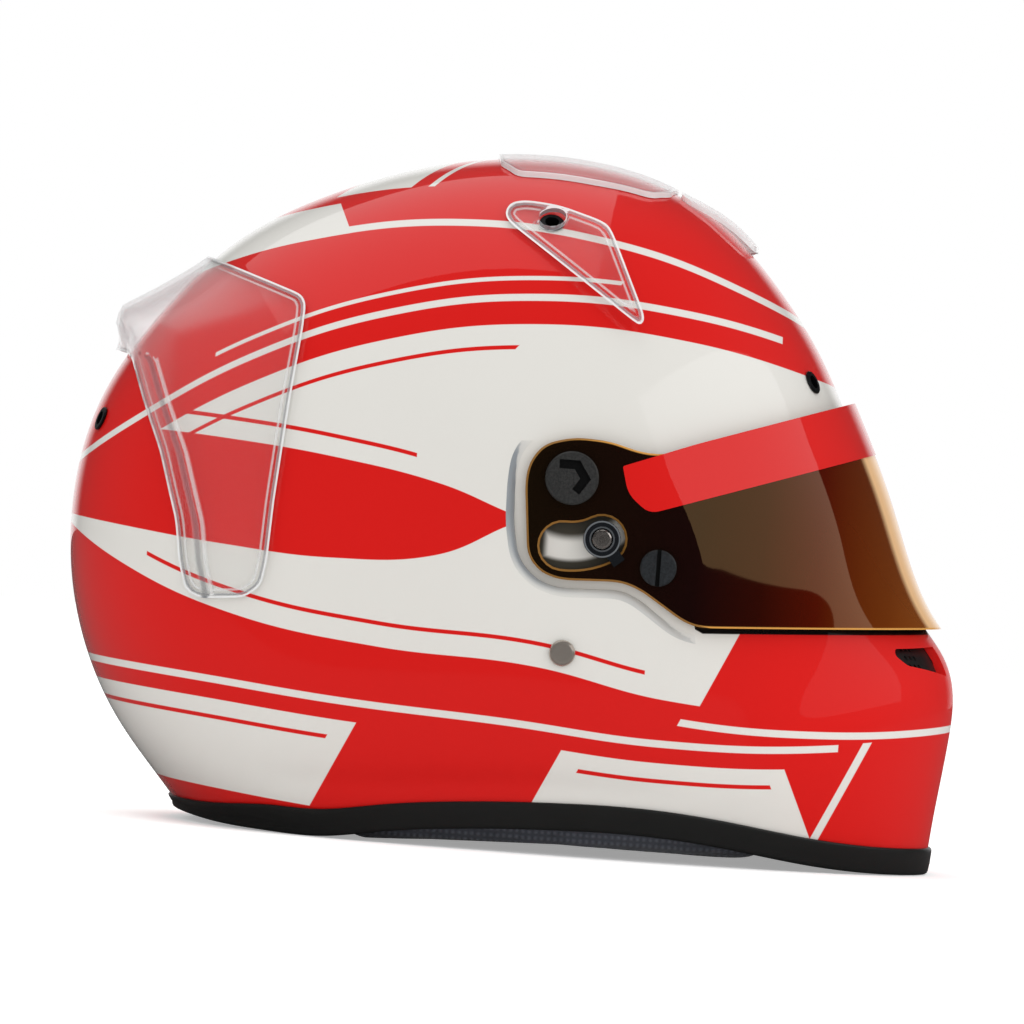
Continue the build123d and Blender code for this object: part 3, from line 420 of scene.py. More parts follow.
def sideCut(name, outline, index=0, ends=(-160.0, 160.0)):
    # a cutter straight across the helmet
    return ringSolid(name, [sideRing(outline, y) for y in ends], index)


def holeCut(name, share, side, radius, ends=(-8, 8), index=0):
    # a round cutter along the shell's normal at one of its holes
    x, z = outlineOf([share])[0]
    point = np.array([x, side * float(surfaceY(x, z)), z])
    normal = normalAt(point)
    return ringSolid(name, [discRing(point + normal * along, normal, radius) for along in ends], index)


def applied(piece):
    # the piece's mesh as its modifiers leave it
    result = bpy.data.meshes.new_from_object(piece.evaluated_get(bpy.context.evaluated_depsgraph_get()))
    piece.modifiers.clear()
    old, piece.data = piece.data, result
    bpy.data.meshes.remove(old)


def carve(piece, cutter, operation="DIFFERENCE"):
    # a boolean, applied at once; the cutter's faces keep their own slot
    if not piece.data.materials:
        for slot in placeholders:
            piece.data.materials.append(slot)
    modifier = piece.modifiers.new("carve", "BOOLEAN")
    modifier.operation, modifier.solver, modifier.object = operation, "EXACT", cutter
    modifier.material_mode = "INDEX"
    applied(piece)
    bpy.data.objects.remove(cutter)


def joined(name, pieces):
    # several cutters that don't touch, as one
    work = bmesh.new()
    for piece in pieces:
        work.from_mesh(piece.data)
    mesh = bpy.data.meshes.new(name)
    work.to_mesh(mesh)
    work.free()
    for slot in placeholders:
        mesh.materials.append(slot)
    for piece in pieces:
        bpy.data.objects.remove(piece)
    return placed(name, mesh)


def dressPiece(piece, materials, body, slot, *replaced, sharp=35):
    # shading, materials, and what the piece stands for
    piece.data.name = piece.name
    indices = np.empty(len(piece.data.polygons), np.int32)
    piece.data.polygons.foreach_get("material_index", indices)
    piece.data.materials.clear()
    for material in materials:
        piece.data.materials.append(material)
    piece.data.polygons.foreach_set("material_index", np.minimum(indices, len(materials) - 1))
    piece.data.shade_smooth()
    piece.data.set_sharp_from_angle(angle=math.radians(sharp))
    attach(piece, body)
    if replaced:
        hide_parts(*replaced)
    return piece


def discRing(point, normal, radius, sides=40):
    # a circle round a normal
    across = np.cross(normal, [0.3, 0.1, 0.9])
    across /= np.linalg.norm(across)
    other = np.cross(normal, across)
    turn = np.linspace(0, 2 * np.pi, sides, endpoint=False)[:, None]
    return point + radius * (np.cos(turn) * across + np.sin(turn) * other)


def shellSheet(inset, rows, grooved):
    # five patches of rays: the top looks up, the sides look out and end on the neck line
    quarter = np.radians(np.linspace(-45, 45, shell["columns"] + 1))
    a, b = np.meshgrid(quarter, quarter, indexing="ij")
    top = np.stack([np.tan(a), np.tan(b), np.ones_like(a)], -1)
    sheets = [castRays(top / np.linalg.norm(top, axis=-1, keepdims=True), inset)]
    for quarterTurn in range(4):
        flat = quarter + quarterTurn * np.pi / 2
        high = np.arctan(np.cos(quarter))
        low, lift = np.full(len(flat), np.radians(-75)), high.copy()
        for _ in range(40):
            middle = (low + lift) / 2
            spot = castRays(rayAt(middle, flat), inset)
            below = spot[:, 2] < neckLine(spot[:, 0])
            low, lift = np.where(below, middle, low), np.where(below, lift, middle)
        rise = low + (high - low) * np.linspace(0, 1, rows + 1)[:, None]
        sheets.append(castRays(rayAt(rise, flat), inset))
    if grooved:
        for sheet in sheets:
            pressShell(sheet)
    return sheets


def pressShell(sheet):
    # a soft groove along the lower side
    x, y, z = sheet[..., 0], sheet[..., 1], sheet[..., 2]
    groove = np.exp(-(((z - grooveLine(x)) / shell["grooveHalf"]) ** 2))
    groove *= smooth(x, -105, -70) * (1 - smooth(x, 45, 85))
    sheet[..., 1] -= np.sign(y) * shell["grooveDepth"] * groove * smooth(np.abs(y), 40, 70)


def makeShell():
    outer = shellSheet(0.0, shell["rows"], True)
    inner = shellSheet(shell["wall"], shell["innerRows"], False)
    recess = roundedOutline(outlineOf(shell["recessShares"]), 5.0)
    low, high = recess.min(0) - 8, recess.max(0) + 8
    for sheet in inner:
        flat = sheet[..., [0, 2]]
        boxed = np.all((flat > low) & (flat < high), axis=-1)
        back = shell["recessFloor"] - shell["wall"]
        backed = np.sign(sheet[..., 1]) * np.minimum(np.abs(sheet[..., 1]), back)
        sheet[..., 1] = np.where(boxed, backed, sheet[..., 1])
    rims = [np.stack([a[0], b[0]]) for a, b in zip(outer[1:], inner[1:])]
    piece = gridMesh("shellOfLaminate", outer + inner + rims)
    eyeport = denser(roundedOutline(outlineOf(shell["eyeportShares"]), 12.0), 4.0)
    cutters = [sideCut("eyeportCut", eyeport)]
    vent = np.array(shell["ventShares"]) * (shell["width"] / 2, shell["height"])
    for side in (-1, 1):
        outline = roundedOutline(vent * (side, 1), 1.5)
        rings = [np.column_stack([np.full(len(outline), x), outline]) for x in (104.0, 200.0)]
        cutters.append(ringSolid("ventCut", rings))
        cutters += [holeCut("holeCut", share, side, shell["holeRadius"]) for share in shell["holes"]]
    carve(piece, joined("openingCuts", cutters))
    recess = denser(recess, 2.5)
    turns = np.radians([0, 15, 30, 45, 60, 74])
    cutters = []
    for side in (-1, 1):
        rings = [sideRing(recess, side * shell["recessFloor"])]
        for turn in turns:
            ring = grownOutline(recess, shell["lipRadius"] * (1 - math.cos(turn)))
            y = surfaceY(ring[:, 0], ring[:, 1]) - shell["lipRadius"] * (1 - math.sin(turn))
            rings.append(sideRing(ring, side * np.maximum(y, shell["recessFloor"] + 0.1 + 0.05 * turn)))
        ring = grownOutline(recess, shell["lipRadius"] * 0.85)
        rings.append(sideRing(ring, side * 135.0))
        cutters.append(ringSolid("recessCut", rings, 1))
    carve(piece, joined("recessCuts", cutters))
    return piece


# Rubber trim round the neck edge: a rounded channel carried along the edge of the shell
trim = {
    "turns": 480, "rearHeight": 2.4, "height": 8.2, "taper": (-130.0, -76.0), "inside": 4.8,
    # its section from the top of the outside, down and under, as (out from the shell, down from the top)
    "section": [(-0.4, 0.0), (0.7, 0.05), (1.2, 0.35), (1.5, 0.95), (1.6, 1.8)],
    "under": [
        (1.6, 0.0), (1.45, -1.0), (1.0, -1.8), (0.3, -2.2), (-1.5, -2.3), (-3.3, -2.2), (-4.3, -1.7),
        (-4.8, -0.6)],
}


def edgeRing(rise):
    # where the shell's surface is a given height above the neck line, all the way round
    flat = np.linspace(0, 2 * np.pi, trim["turns"] + 1)[:, None] + 0 * rise
    low, lift = np.full(flat.shape, np.radians(-78)), np.full(flat.shape, np.radians(-20))
    for _ in range(40):
        middle = (low + lift) / 2
        spot = castRays(rayAt(middle, flat), 0.0)
        below = spot[..., 2] < neckLine(spot[..., 0]) + rise
        low, lift = np.where(below, middle, low), np.where(below, lift, middle)
    return spot


def makeTrim():
    foot = edgeRing(np.zeros((1, 1)))[:, 0]
    along = np.roll(foot[:-1], -1, 0) - np.roll(foot[:-1], 1, 0)
    along = np.concatenate([along, along[:1]])
    out = np.stack([along[:, 1], -along[:, 0], 0 * foot[:, 0]], 1)
    out /= np.linalg.norm(out, axis=1, keepdims=True)
    height = trim["rearHeight"] + (trim["height"] - trim["rearHeight"]) * smooth(foot[:, 0], *trim["taper"])
    rows = []
    for outwards, drop in trim["section"]:
        share = np.minimum(drop, height * drop / trim["section"][-1][1] * 0.8)
        rows.append(edgeRing((height - share)[:, None])[:, 0] + out * outwards)
    middle = edgeRing((height * 0.25)[:, None])[:, 0] + out * 1.7
    rows.append(middle)
    for outwards, rise in trim["under"]:
        rows.append(foot + out * outwards + (0, 0, rise))
    inner = foot + (0, 0, 1.0) * (height - 0.6)[:, None] - out * trim["inside"]
    rows += [inner, inner + out * 1.0 + (0, 0, 0.5), rows[0]]
    return gridMesh("neckTrimOfRubber", [np.stack(rows)])


# Visor: a sheet that follows the shell at the front and turns into flat arms at the pivots
visor = {
    "thickness": 2.8, "lift": 2.4, "armInner": 116.6, "armOuter": 119.4, "blend": 2.0,
    "axisShare": 0.0862, "heights": (0.30, 0.72), "turn": 111.0, "rows": 84, "columns": 240,
    "outline": [
        (0.004, 0.529), (0.008, 0.558), (0.0225, 0.5835), (0.0546, 0.5955), (0.0925, 0.5935),
        (0.126, 0.5812), (0.153, 0.580), (0.372, 0.679), (0.520, 0.746),
        (0.520, 0.363), (0.2055, 0.339), (0.1865, 0.3455), (0.1374, 0.386),
        (0.1152, 0.3955), (0.050, 0.3918), (0.028, 0.4008), (0.0124, 0.4233)],
    "pivot": (0.0546, 0.5372), "bossHole": 8.05, "lockRadius": 25.7, "lockAngle": -59.5,
    "slotHalf": 8.8, "slotTurn": 34.0,
    "tearOff": (0.1552, 0.4192), "tearHole": 2.55, "chamfer": 0.9,
    # colour of the smoke from the pivot to the front, by share of its reach in metres
    "smoke": [
        (0.0, "#120b05"), (0.40, "#140406"), (0.55, "#2c0603"), (0.68, "#4b0d02"), (0.85, "#6a3008"),
        (1.0, "#8a4a14")],
    # then a gold reflection painted where the lens turns away from the eye, and a gold highlight painted along its
    # cut edges, full to nothing in mm from them
    "smokeReach": 0.17, "edgeHighlightGold": "#d59a4e", "grazingReflectionGold": "#e3b888", "rimFacing": (0.70, 0.76),
    "paintedEdgeHighlight": (0.9, 0.4),
    "stripOutline": [
        (0.1085, 0.5595), (0.1165, 0.5205), (0.1410, 0.4950), (0.375, 0.599), (0.520, 0.661),
        (0.520, 0.780), (0.372, 0.6825), (0.187, 0.5990)],
    "stripCorners": (0.8, 4.0, 4.0, 4.0, 4.0, 4.0, 4.0, 4.0), "stripGap": 0.05, "stripThickness": 0.4,
}


def softMin(first, second):
    near = np.clip(1 - np.abs(first - second) / visor["blend"], 0, None)
    return np.minimum(first, second) - near**2 * visor["blend"] / 4


def visorSheet(lift, arm):
    # rays turned round an upright axis, halved until they meet the lower of the lifted dome and the flat arm
    axis = visor["axisShare"] * shell["length"]
    heights = np.linspace(*visor["heights"], visor["rows"]) * shell["height"]
    turns = np.radians(np.linspace(-visor["turn"], visor["turn"], visor["columns"]))
    z, turn = np.meshgrid(heights, turns, indexing="ij")
    near, far = np.zeros_like(turn), np.full_like(turn, shell["length"])
    for _ in range(44):
        middle = (near + far) / 2
        x, y = axis + middle * np.cos(turn), middle * np.abs(np.sin(turn))
        over = surfaceY(x, z, -lift)
        within = (over > 0) & (y < softMin(arm, over))
        near, far = np.where(within, middle, near), np.where(within, far, middle)
    return np.stack([axis + near * np.cos(turn), near * np.sin(turn), z], -1)


def throughRings(outline, chamfer=0.0):
    # an outline carried across the helmet, drawn in by a chamfer outside the arms, or let out where negative
    tight = grownOutline(outline, -chamfer)
    edge, depth = visor["armOuter"], abs(chamfer)
    half = [(outline, edge - depth), (tight, edge + 0.1), (tight, 160.0)]
    return [sideRing(ring, -y) for ring, y in half[::-1]] + [sideRing(ring, y) for ring, y in half]


def makeVisor():
    piece = sheetSolid(
        "visorLensOfPolycarbonate", visorSheet(visor["lift"] + visor["thickness"], visor["armOuter"]),
        visorSheet(visor["lift"], visor["armInner"]))
    outline = denser(roundedOutline(outlineOf(visor["outline"]), 5.0), 3.0)
    carve(piece, ringSolid("visorEdge", throughRings(outline, visor["chamfer"]), 1), "INTERSECT")
    pivot = outlineOf([visor["pivot"]])[0]
    start, end = np.radians(visor["lockAngle"] - visor["slotTurn"]), np.radians(visor["lockAngle"])
    along, half, middle = np.linspace(start, end, 12), visor["slotHalf"], visor["lockRadius"]
    caps = np.linspace(0, np.pi, 12)[1:-1]

    def capAt(angle, swing):
        centre = middle * np.array([np.cos(angle), np.sin(angle)])
        return centre + half * np.stack([np.cos(angle + swing), np.sin(angle + swing)], 1)

    arc = np.stack([np.cos(along), np.sin(along)], 1)
    slot = np.concatenate([
        (middle + half) * arc, capAt(end, caps), (middle - half) * arc[::-1], capAt(start, np.pi + caps)]) + pivot
    turn = np.linspace(0, 2 * np.pi, 48, endpoint=False)
    circle = np.stack([np.cos(turn), np.sin(turn)], 1)
    post = outlineOf([visor["tearOff"]])[0]
    rings = [(slot, 1), (pivot + visor["bossHole"] * circle, 0), (post + visor["tearHole"] * circle, 0)]
    cutters = [ringSolid("armCut", throughRings(ring, -visor["chamfer"] * wide), 1) for ring, wide in rings]
    carve(piece, joined("armCuts", cutters))
    markEdges(piece, outline, [0, 2])
    return piece


def makeStrip():
    lift, arm = visor["lift"] + visor["thickness"] + visor["stripGap"], visor["armOuter"] + visor["stripGap"]
    thick = visor["stripThickness"]
    piece = sheetSolid("sunStripOfFilm", visorSheet(lift + thick, arm + thick), visorSheet(lift, arm))
    outline = denser(roundedOutline(outlineOf(visor["stripOutline"]), visor["stripCorners"]), 3.0)
    carve(piece, sideCut("stripEdge", outline), "INTERSECT")
    return piece


# Clear aerodynamic parts of thin polycarbonate, taped to the shell
clear = {
    "thickness": 1.8, "seat": 0.3, "tape": 0.6, "runShare": 0.10,
    "spoilerLift": 12.5, "wingLift": 6.0, "spoilerRun": 0.115, "risePower": 1.5, "blend": (0.50, 0.72),
    "tabHeight": 13.0, "tabSteepness": 1.6, "faceHeight": 16.0, "faceWidth": 8.0, "faceShare": 0.75,
    "spoiler": [
        (-0.371, 0.823), (-0.320, 0.800), (-0.256, 0.771), (-0.2496, 0.758), (-0.2506, 0.718),
        (-0.2578, 0.617), (-0.2658, 0.474), (-0.2684, 0.388), (-0.2727, 0.3515), (-0.2900, 0.3327),
        (-0.3390, 0.3263), (-0.3560, 0.336), (-0.3661, 0.378), (-0.3727, 0.434), (-0.397, 0.532),
        (-0.4207, 0.601), (-0.4411, 0.6677), (-0.4600, 0.6752), (-0.510, 0.6752), (-0.510, 0.823)],
    "deflector": [
        (-0.0405, 0.912), (-0.035, 0.927), (-0.018, 0.9325), (0.019, 0.928), (0.068, 0.909),
        (0.0776, 0.898), (0.1213, 0.773), (0.1164, 0.7613), (0.1050, 0.770), (0.024, 0.8437),
        (-0.036, 0.898)],
    "deflectorLift": 4.0,
    "top": [
        (-0.053, 0.00), (-0.050, 0.24), (-0.030, 0.355), (0.055, 0.360), (0.120, 0.330), (0.142, 0.23),
        (0.152, 0.00)],
    "front": [(0.1545, 0.00), (0.155, 0.17), (0.168, 0.195), (0.225, 0.190), (0.241, 0.165), (0.2465, 0.00)],
    "frontLift": 2.2,
    # painted highlights (pale) and painted shade (grey) along the cut edges and the fold: what they follow, start,
    # end, full from and to in mm, how solid, and their colour
    "paintedEdgeHighlightsAndShade": [
        ("edgeDistance", -1.0, 1.0, -0.5, 0.5, 0.75, "#fbfcfc"),
        ("edgeDistance", 0.7, 1.9, 1.1, 1.4, 0.45, "#a3a6aa"),
        ("edgeDistance", 2.4, 3.8, 2.9, 3.2, 0.30, "#f6f8f8"),
        ("foldDistance", -2.4, 1.6, -0.6, 0.2, 0.30, "#8d9094"),
        ("foldDistance", 1.2, 4.0, 2.0, 2.6, 0.30, "#fafbfb")],
}


def domeSheet(angles, turns, inset):
    # the dome's grid of angle and turn, moved out by a depth that may follow the place
    angle, turn = np.meshgrid(angles, turns, indexing="ij")
    share = np.cos(turn)
    side = np.sign(turn) * np.sqrt(1 - share ** fullnessAt(angle))
    reach = profileRadius(angle) * share
    height = pole + reach * np.sin(angle)
    depth = inset(-reach * np.cos(angle), widthAt(height) * side, height)
    reach = reach - depth * share
    height = pole + reach * np.sin(angle)
    return np.stack([-reach * np.cos(angle), (widthAt(height) - depth) * side, height], -1)


def clearSheet(name, angles, turns, lift):
    angles, turns = np.radians(np.linspace(*angles)), np.radians(np.linspace(*turns))
    sheets = [
        domeSheet(angles, turns, lambda x, y, z, over=over: -clear["seat"] - over - lift(x, y, z))
        for over in (clear["thickness"], 0.0)]
    return sheetSolid(name, *sheets)


def spoilerLift(x, y, z):
    # nothing at its seat, most at a ridge, less again at its free edge
    points = outlineOf(clear["spoiler"])
    top, side = points[0], points[2]
    slope = math.hypot(*(side - top))
    below = ((top[1] - z) * (side[0] - top[0]) - (top[0] - x) * (side[1] - top[1])) / slope
    tab = (z - points[:, 1].min() - clear["tabHeight"]) * clear["tabSteepness"]
    seated = np.minimum(np.minimum(below, side[0] - x), tab)
    rise = np.clip(seated / (clear["spoilerRun"] * shell["length"]), 0, 1) ** clear["risePower"]
    high = smooth(z, clear["blend"][0] * shell["height"], clear["blend"][1] * shell["height"])
    lift = (clear["wingLift"] + (clear["spoilerLift"] - clear["wingLift"]) * high) * rise
    free = points[11:18]
    ahead = (x - np.interp(z, free[:, 1], free[:, 0])) / clear["faceWidth"]
    past = np.clip(np.maximum(ahead, (z - free[-1, 1]) / clear["faceHeight"]), 0, 1)
    return lift * (1 - clear["faceShare"] * (1 - past)) + clear["tape"] - clear["seat"]


def deflectorLift(x, y, z):
    foot, tip = outlineOf(clear["deflector"])[[5, 6]]
    ahead = x - (tip[0] - foot[0]) / (tip[1] - foot[1]) * (z - foot[1])
    return clear["deflectorLift"] * smooth(ahead, foot[0] - clear["runShare"] * shell["length"], foot[0])


def frontLift(x, y, z):
    start, end = [clear["front"][index][0] * shell["length"] for index in (1, 3)]
    return clear["frontLift"] * smooth(x, start, end)


def planRings(shares):
    half = np.array(shares) * (shell["length"], shell["width"] / 2)
    outline = np.concatenate([half, half[1:-1][::-1] * (1, -1)])
    outline = denser(roundedOutline(outline, 4.0), 3.0)
    return [np.column_stack([outline, np.full(len(outline), z)]) for z in (140.0, 300.0)]


def markEdges(piece, outline, axes):
    # keeps each point's distance from the cut outline, in mm, and how far it is ahead of the spoiler's fold
    points = readPoints(piece.data)
    flat = points[:, axes] / mm
    after = np.roll(outline, -1, 0) - outline
    distance = np.full(len(flat), 1e3)
    for start, side in zip(outline, after):
        share = np.clip((flat - start) @ side / (side @ side), 0, 1)
        distance = np.minimum(distance, np.linalg.norm(flat - start - share[:, None] * side, axis=1))
    free = outlineOf(clear["spoiler"])[11:18]
    fold = flat[:, 0] - np.interp(flat[:, 1], free[:, 1], free[:, 0]) - clear["faceWidth"]
    folded = piece.name.startswith("rearSpoiler") & (flat[:, 1] <= free[-1, 1])
    fold = np.where(folded, fold, 99.0)
    for name, values in (("edgeDistance", distance), ("foldDistance", fold)):
        layer = piece.data.attributes.new(name, "FLOAT", "POINT")
        layer.data.foreach_set("value", values.astype(np.float32))


def makeClearParts():
    made = {}
    spoiler = clearSheet("rearSpoilerOfClearSheet", (8, 75, 110), (-86, 86, 190), spoilerLift)
    outline = denser(roundedOutline(outlineOf(clear["spoiler"]), 3.0), 4.0)
    carve(spoiler, sideCut("spoilerEdge", outline, 1), "INTERSECT")
    markEdges(spoiler, outline, [0, 2])
    made["rear_spoiler"] = spoiler
    outline = denser(roundedOutline(outlineOf(clear["deflector"]), 5.0), 3.0)
    for side, name in ((-1, "Right"), (1, "Left")):
        piece = clearSheet(f"sideDeflector{name}", (80, 125, 70), (side * 10, side * 75, 90), deflectorLift)
        carve(piece, sideCut("deflectorEdge", outline, 1, (0.0, side * 160.0)), "INTERSECT")
        markEdges(piece, outline, [0, 2])
        carve(piece, holeCut("deflectorHole", shell["holes"][0], side, 5.2, (-8, 12), 1))
        made[f"side_deflector_{name.lower()}"] = piece
    for node, name, shares, angles, turns, lift in (
            ("top_deflector", "topDeflector", clear["top"], (68, 120, 80), (-40, 40, 90),
             lambda x, y, z: 0 * x),
            ("front_strip", "frontStrip", clear["front"], (98, 130, 60), (-25, 25, 60), frontLift)):
        piece = clearSheet(name, angles, turns, lift)
        rings = planRings(shares)
        carve(piece, ringSolid(name + "Edge", rings, 1), "INTERSECT")
        markEdges(piece, rings[0][:, :2], [0, 1])
        made[node] = piece
    return made


# Chin strap of woven webbing
strap = {
    "rivet": (0.0583, 0.2887), "width": 20.0, "thickness": 1.8, "hang": 64.0, "bend": 7.0,
    "tailReach": 12.0, "tailHeight": 2.9,
    "plateThickness": 1.6, "slotSide": 2.5, "barHeight": 31.0, "ringPitch": 3.8, "ringWire": 1.6,
}


def ribbonGrid(path, width, thickness, closed=False):
    # a flat rounded section carried along a path of across and height
    before, after = (np.roll(path, 1, 0), np.roll(path, -1, 0)) if closed else (
        np.concatenate([path[:1], path[:-1]]), np.concatenate([path[1:], path[-1:]]))
    along = after - before
    along /= np.linalg.norm(along, axis=1, keepdims=True)
    normal = np.stack([-along[:, 1], along[:, 0]], 1)
    turn = np.linspace(0, 2 * np.pi, 33)
    across = width / 2 * np.sign(np.cos(turn)) * np.abs(np.cos(turn)) ** 0.25
    out = thickness / 2 * np.sign(np.sin(turn)) * np.abs(np.sin(turn)) ** 0.6
    flat = path[:, None] + normal[:, None] * out[None, :, None]
    x = np.broadcast_to(strap["rivet"][0] * shell["length"] + across, flat.shape[:2])
    grid = np.stack([x, flat[..., 0], flat[..., 1]], -1)
    return np.concatenate([grid, grid[:1]]) if closed else grid


def pathOf(points, bend, step=1.5):
    # a polyline with rounded corners, its points a step apart
    rounded = roundedOutline(points, bend, 9, closed=False)
    length = np.concatenate([[0], np.cumsum(np.linalg.norm(np.diff(rounded, axis=0), axis=1))])
    at = np.linspace(0, length[-1], int(length[-1] / step))
    return np.stack([np.interp(at, length, rounded[:, k]) for k in (0, 1)], 1)


def endCaps(grid):
    # closes a ribbon's two ends by drawing its section in to its middle line
    middles = [np.broadcast_to(grid[k].mean(0), grid[k].shape) for k in (0, -1)]
    return [np.stack([middles[0], grid[0]]), np.stack([grid[-1], middles[1]])]


def makeStraps():
    x, z = outlineOf([strap["rivet"]])[0]
    plateY = float(surfaceY(x + 11, z + 13, shell["wall"])) - 0.3 - strap["plateThickness"]
    tabY = plateY - 0.3 - 1.0
    start, turn = (tabY, z + 13 - strap["slotSide"]), (tabY, z - 13 - 5)
    eyeTop = strap["barHeight"] + strap["ringWire"] + 0.05 + 1.6
    down, foot = [start, turn, (strap["hang"], turn[1])], strap["tailHeight"]
    pieces = []
    for name, side, route in (
            ("chinStrapRight", -1, down + [(strap["hang"], eyeTop - 0.8)]),
            ("chinStrapLeft", 1, down + [(strap["hang"], foot), (-strap["tailReach"], foot)])):
        path = pathOf(np.array(route) * (side, 1), strap["bend"])
        grid = ribbonGrid(path, strap["width"], strap["thickness"])
        sheets = [grid] + endCaps(grid)
        if side < 0:
            reach = strap["ringWire"] + 0.05 + 0.9
            swing = np.linspace(0, np.pi, 16)
            cap = reach * np.stack([np.sin(swing), np.cos(swing)], 1)
            loop = np.concatenate([cap + (strap["ringPitch"] / 2, 0), -cap - (strap["ringPitch"] / 2, 0)])
            loop = loop + (-strap["hang"], strap["barHeight"])
            sheets.append(ribbonGrid(loop, strap["width"], 1.4, closed=True))
        pieces.append(gridMesh(name, sheets))
    return pieces


# Soft lining: knit over foam, swelled a little from the space of its solid
lining = {
    "voxel": 5.0, "shrink": 1.2, "pressure": 4.0, "cap": 6.0, "share": 0.5, "frames": 20, "clear": 0.5,
    # each pad, its solid, and how far it may stand out of that solid
    "pieces": [
        ("cheekPadRight", "cheek_pad_right", -0.2), ("cheekPadLeft", "cheek_pad_left", -0.2),
        ("neckRollPad", "neck_roll", 3.0), ("crownLining", "comfort_liner", 3.0)],
}


def pushIn(mesh, amount):
    # moves every point along its normal
    normals = np.empty(len(mesh.vertices) * 3)
    mesh.vertices.foreach_get("normal", normals)
    mesh.vertices.foreach_set("co", (readPoints(mesh) - normals.reshape(-1, 3) * amount * mm).ravel())
    mesh.update()


def makePad(name, node, over):
    # remesh the solid, swell it as cloth, cap the movement, then subdivide once
    mesh = nodes[node].data.copy()
    piece = placed(name, mesh)
    work = bmesh.new()
    work.from_mesh(mesh)
    bmesh.ops.remove_doubles(work, verts=work.verts, dist=1e-5)
    bmesh.ops.recalc_face_normals(work, faces=work.faces)
    solid = BVHTree.FromBMesh(work)
    work.to_mesh(mesh)
    work.free()
    remesh = piece.modifiers.new("remesh", "REMESH")
    remesh.mode, remesh.voxel_size = "VOXEL", lining["voxel"] * mm
    applied(piece)
    pushIn(piece.data, lining["shrink"])
    rest = readPoints(piece.data)
    cloth = piece.modifiers.new("swell", "CLOTH")
    cloth.settings.use_pressure, cloth.settings.uniform_pressure_force = True, lining["pressure"]
    cloth.settings.quality, cloth.settings.mass = 5, 0.3
    cloth.settings.tension_stiffness = cloth.settings.compression_stiffness = 25
    cloth.settings.effector_weights.gravity = 0
    cloth.point_cache.frame_end = lining["frames"]
    for step in range(1, lining["frames"] + 1):
        bpy.context.scene.frame_set(step)
    applied(piece)
    bpy.context.scene.frame_set(1)
    move = readPoints(piece.data) - rest
    size = np.linalg.norm(move, axis=1, keepdims=True)
    limit = lining["cap"] * mm
    swelled = rest + move * np.minimum(1, limit / np.maximum(size, 1e-9)) * lining["share"]
    piece.data.vertices.foreach_set("co", swelled.ravel())
    soften = piece.modifiers.new("soften", "SMOOTH")
    soften.factor, soften.iterations = 0.5, 6
    divide = piece.modifiers.new("divide", "SUBSURF")
    divide.levels = divide.render_levels = 1
    applied(piece)
    # smoothing draws a pad in, so it is stretched back to the box of its solid
    points, box = readPoints(piece.data), np.array([list(corner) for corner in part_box(node)])
    low, high = points.min(0), points.max(0)
    points = box[0] + (points - low) * (box[1] - box[0]) / (high - low)
    # and kept inside the shell's wall
    out = points / mm - heart
    reach = np.linalg.norm(out, axis=1, keepdims=True)
    wall = castRays(out / reach, shell["wall"] + lining["clear"]) - heart
    wall = np.linalg.norm(wall, axis=1, keepdims=True)
    points = (heart + out * np.minimum(1, wall / reach)) * mm
    for index, point in enumerate(points):
        spot, normal, _, _ = solid.find_nearest(Vector(point))
        excess = (Vector(point) - spot).dot(normal) - over * mm
        if excess > 0:
            points[index] = point - np.array(normal) * excess
    piece.data.vertices.foreach_set("co", points.ravel())
    piece.data.update()
    return piece


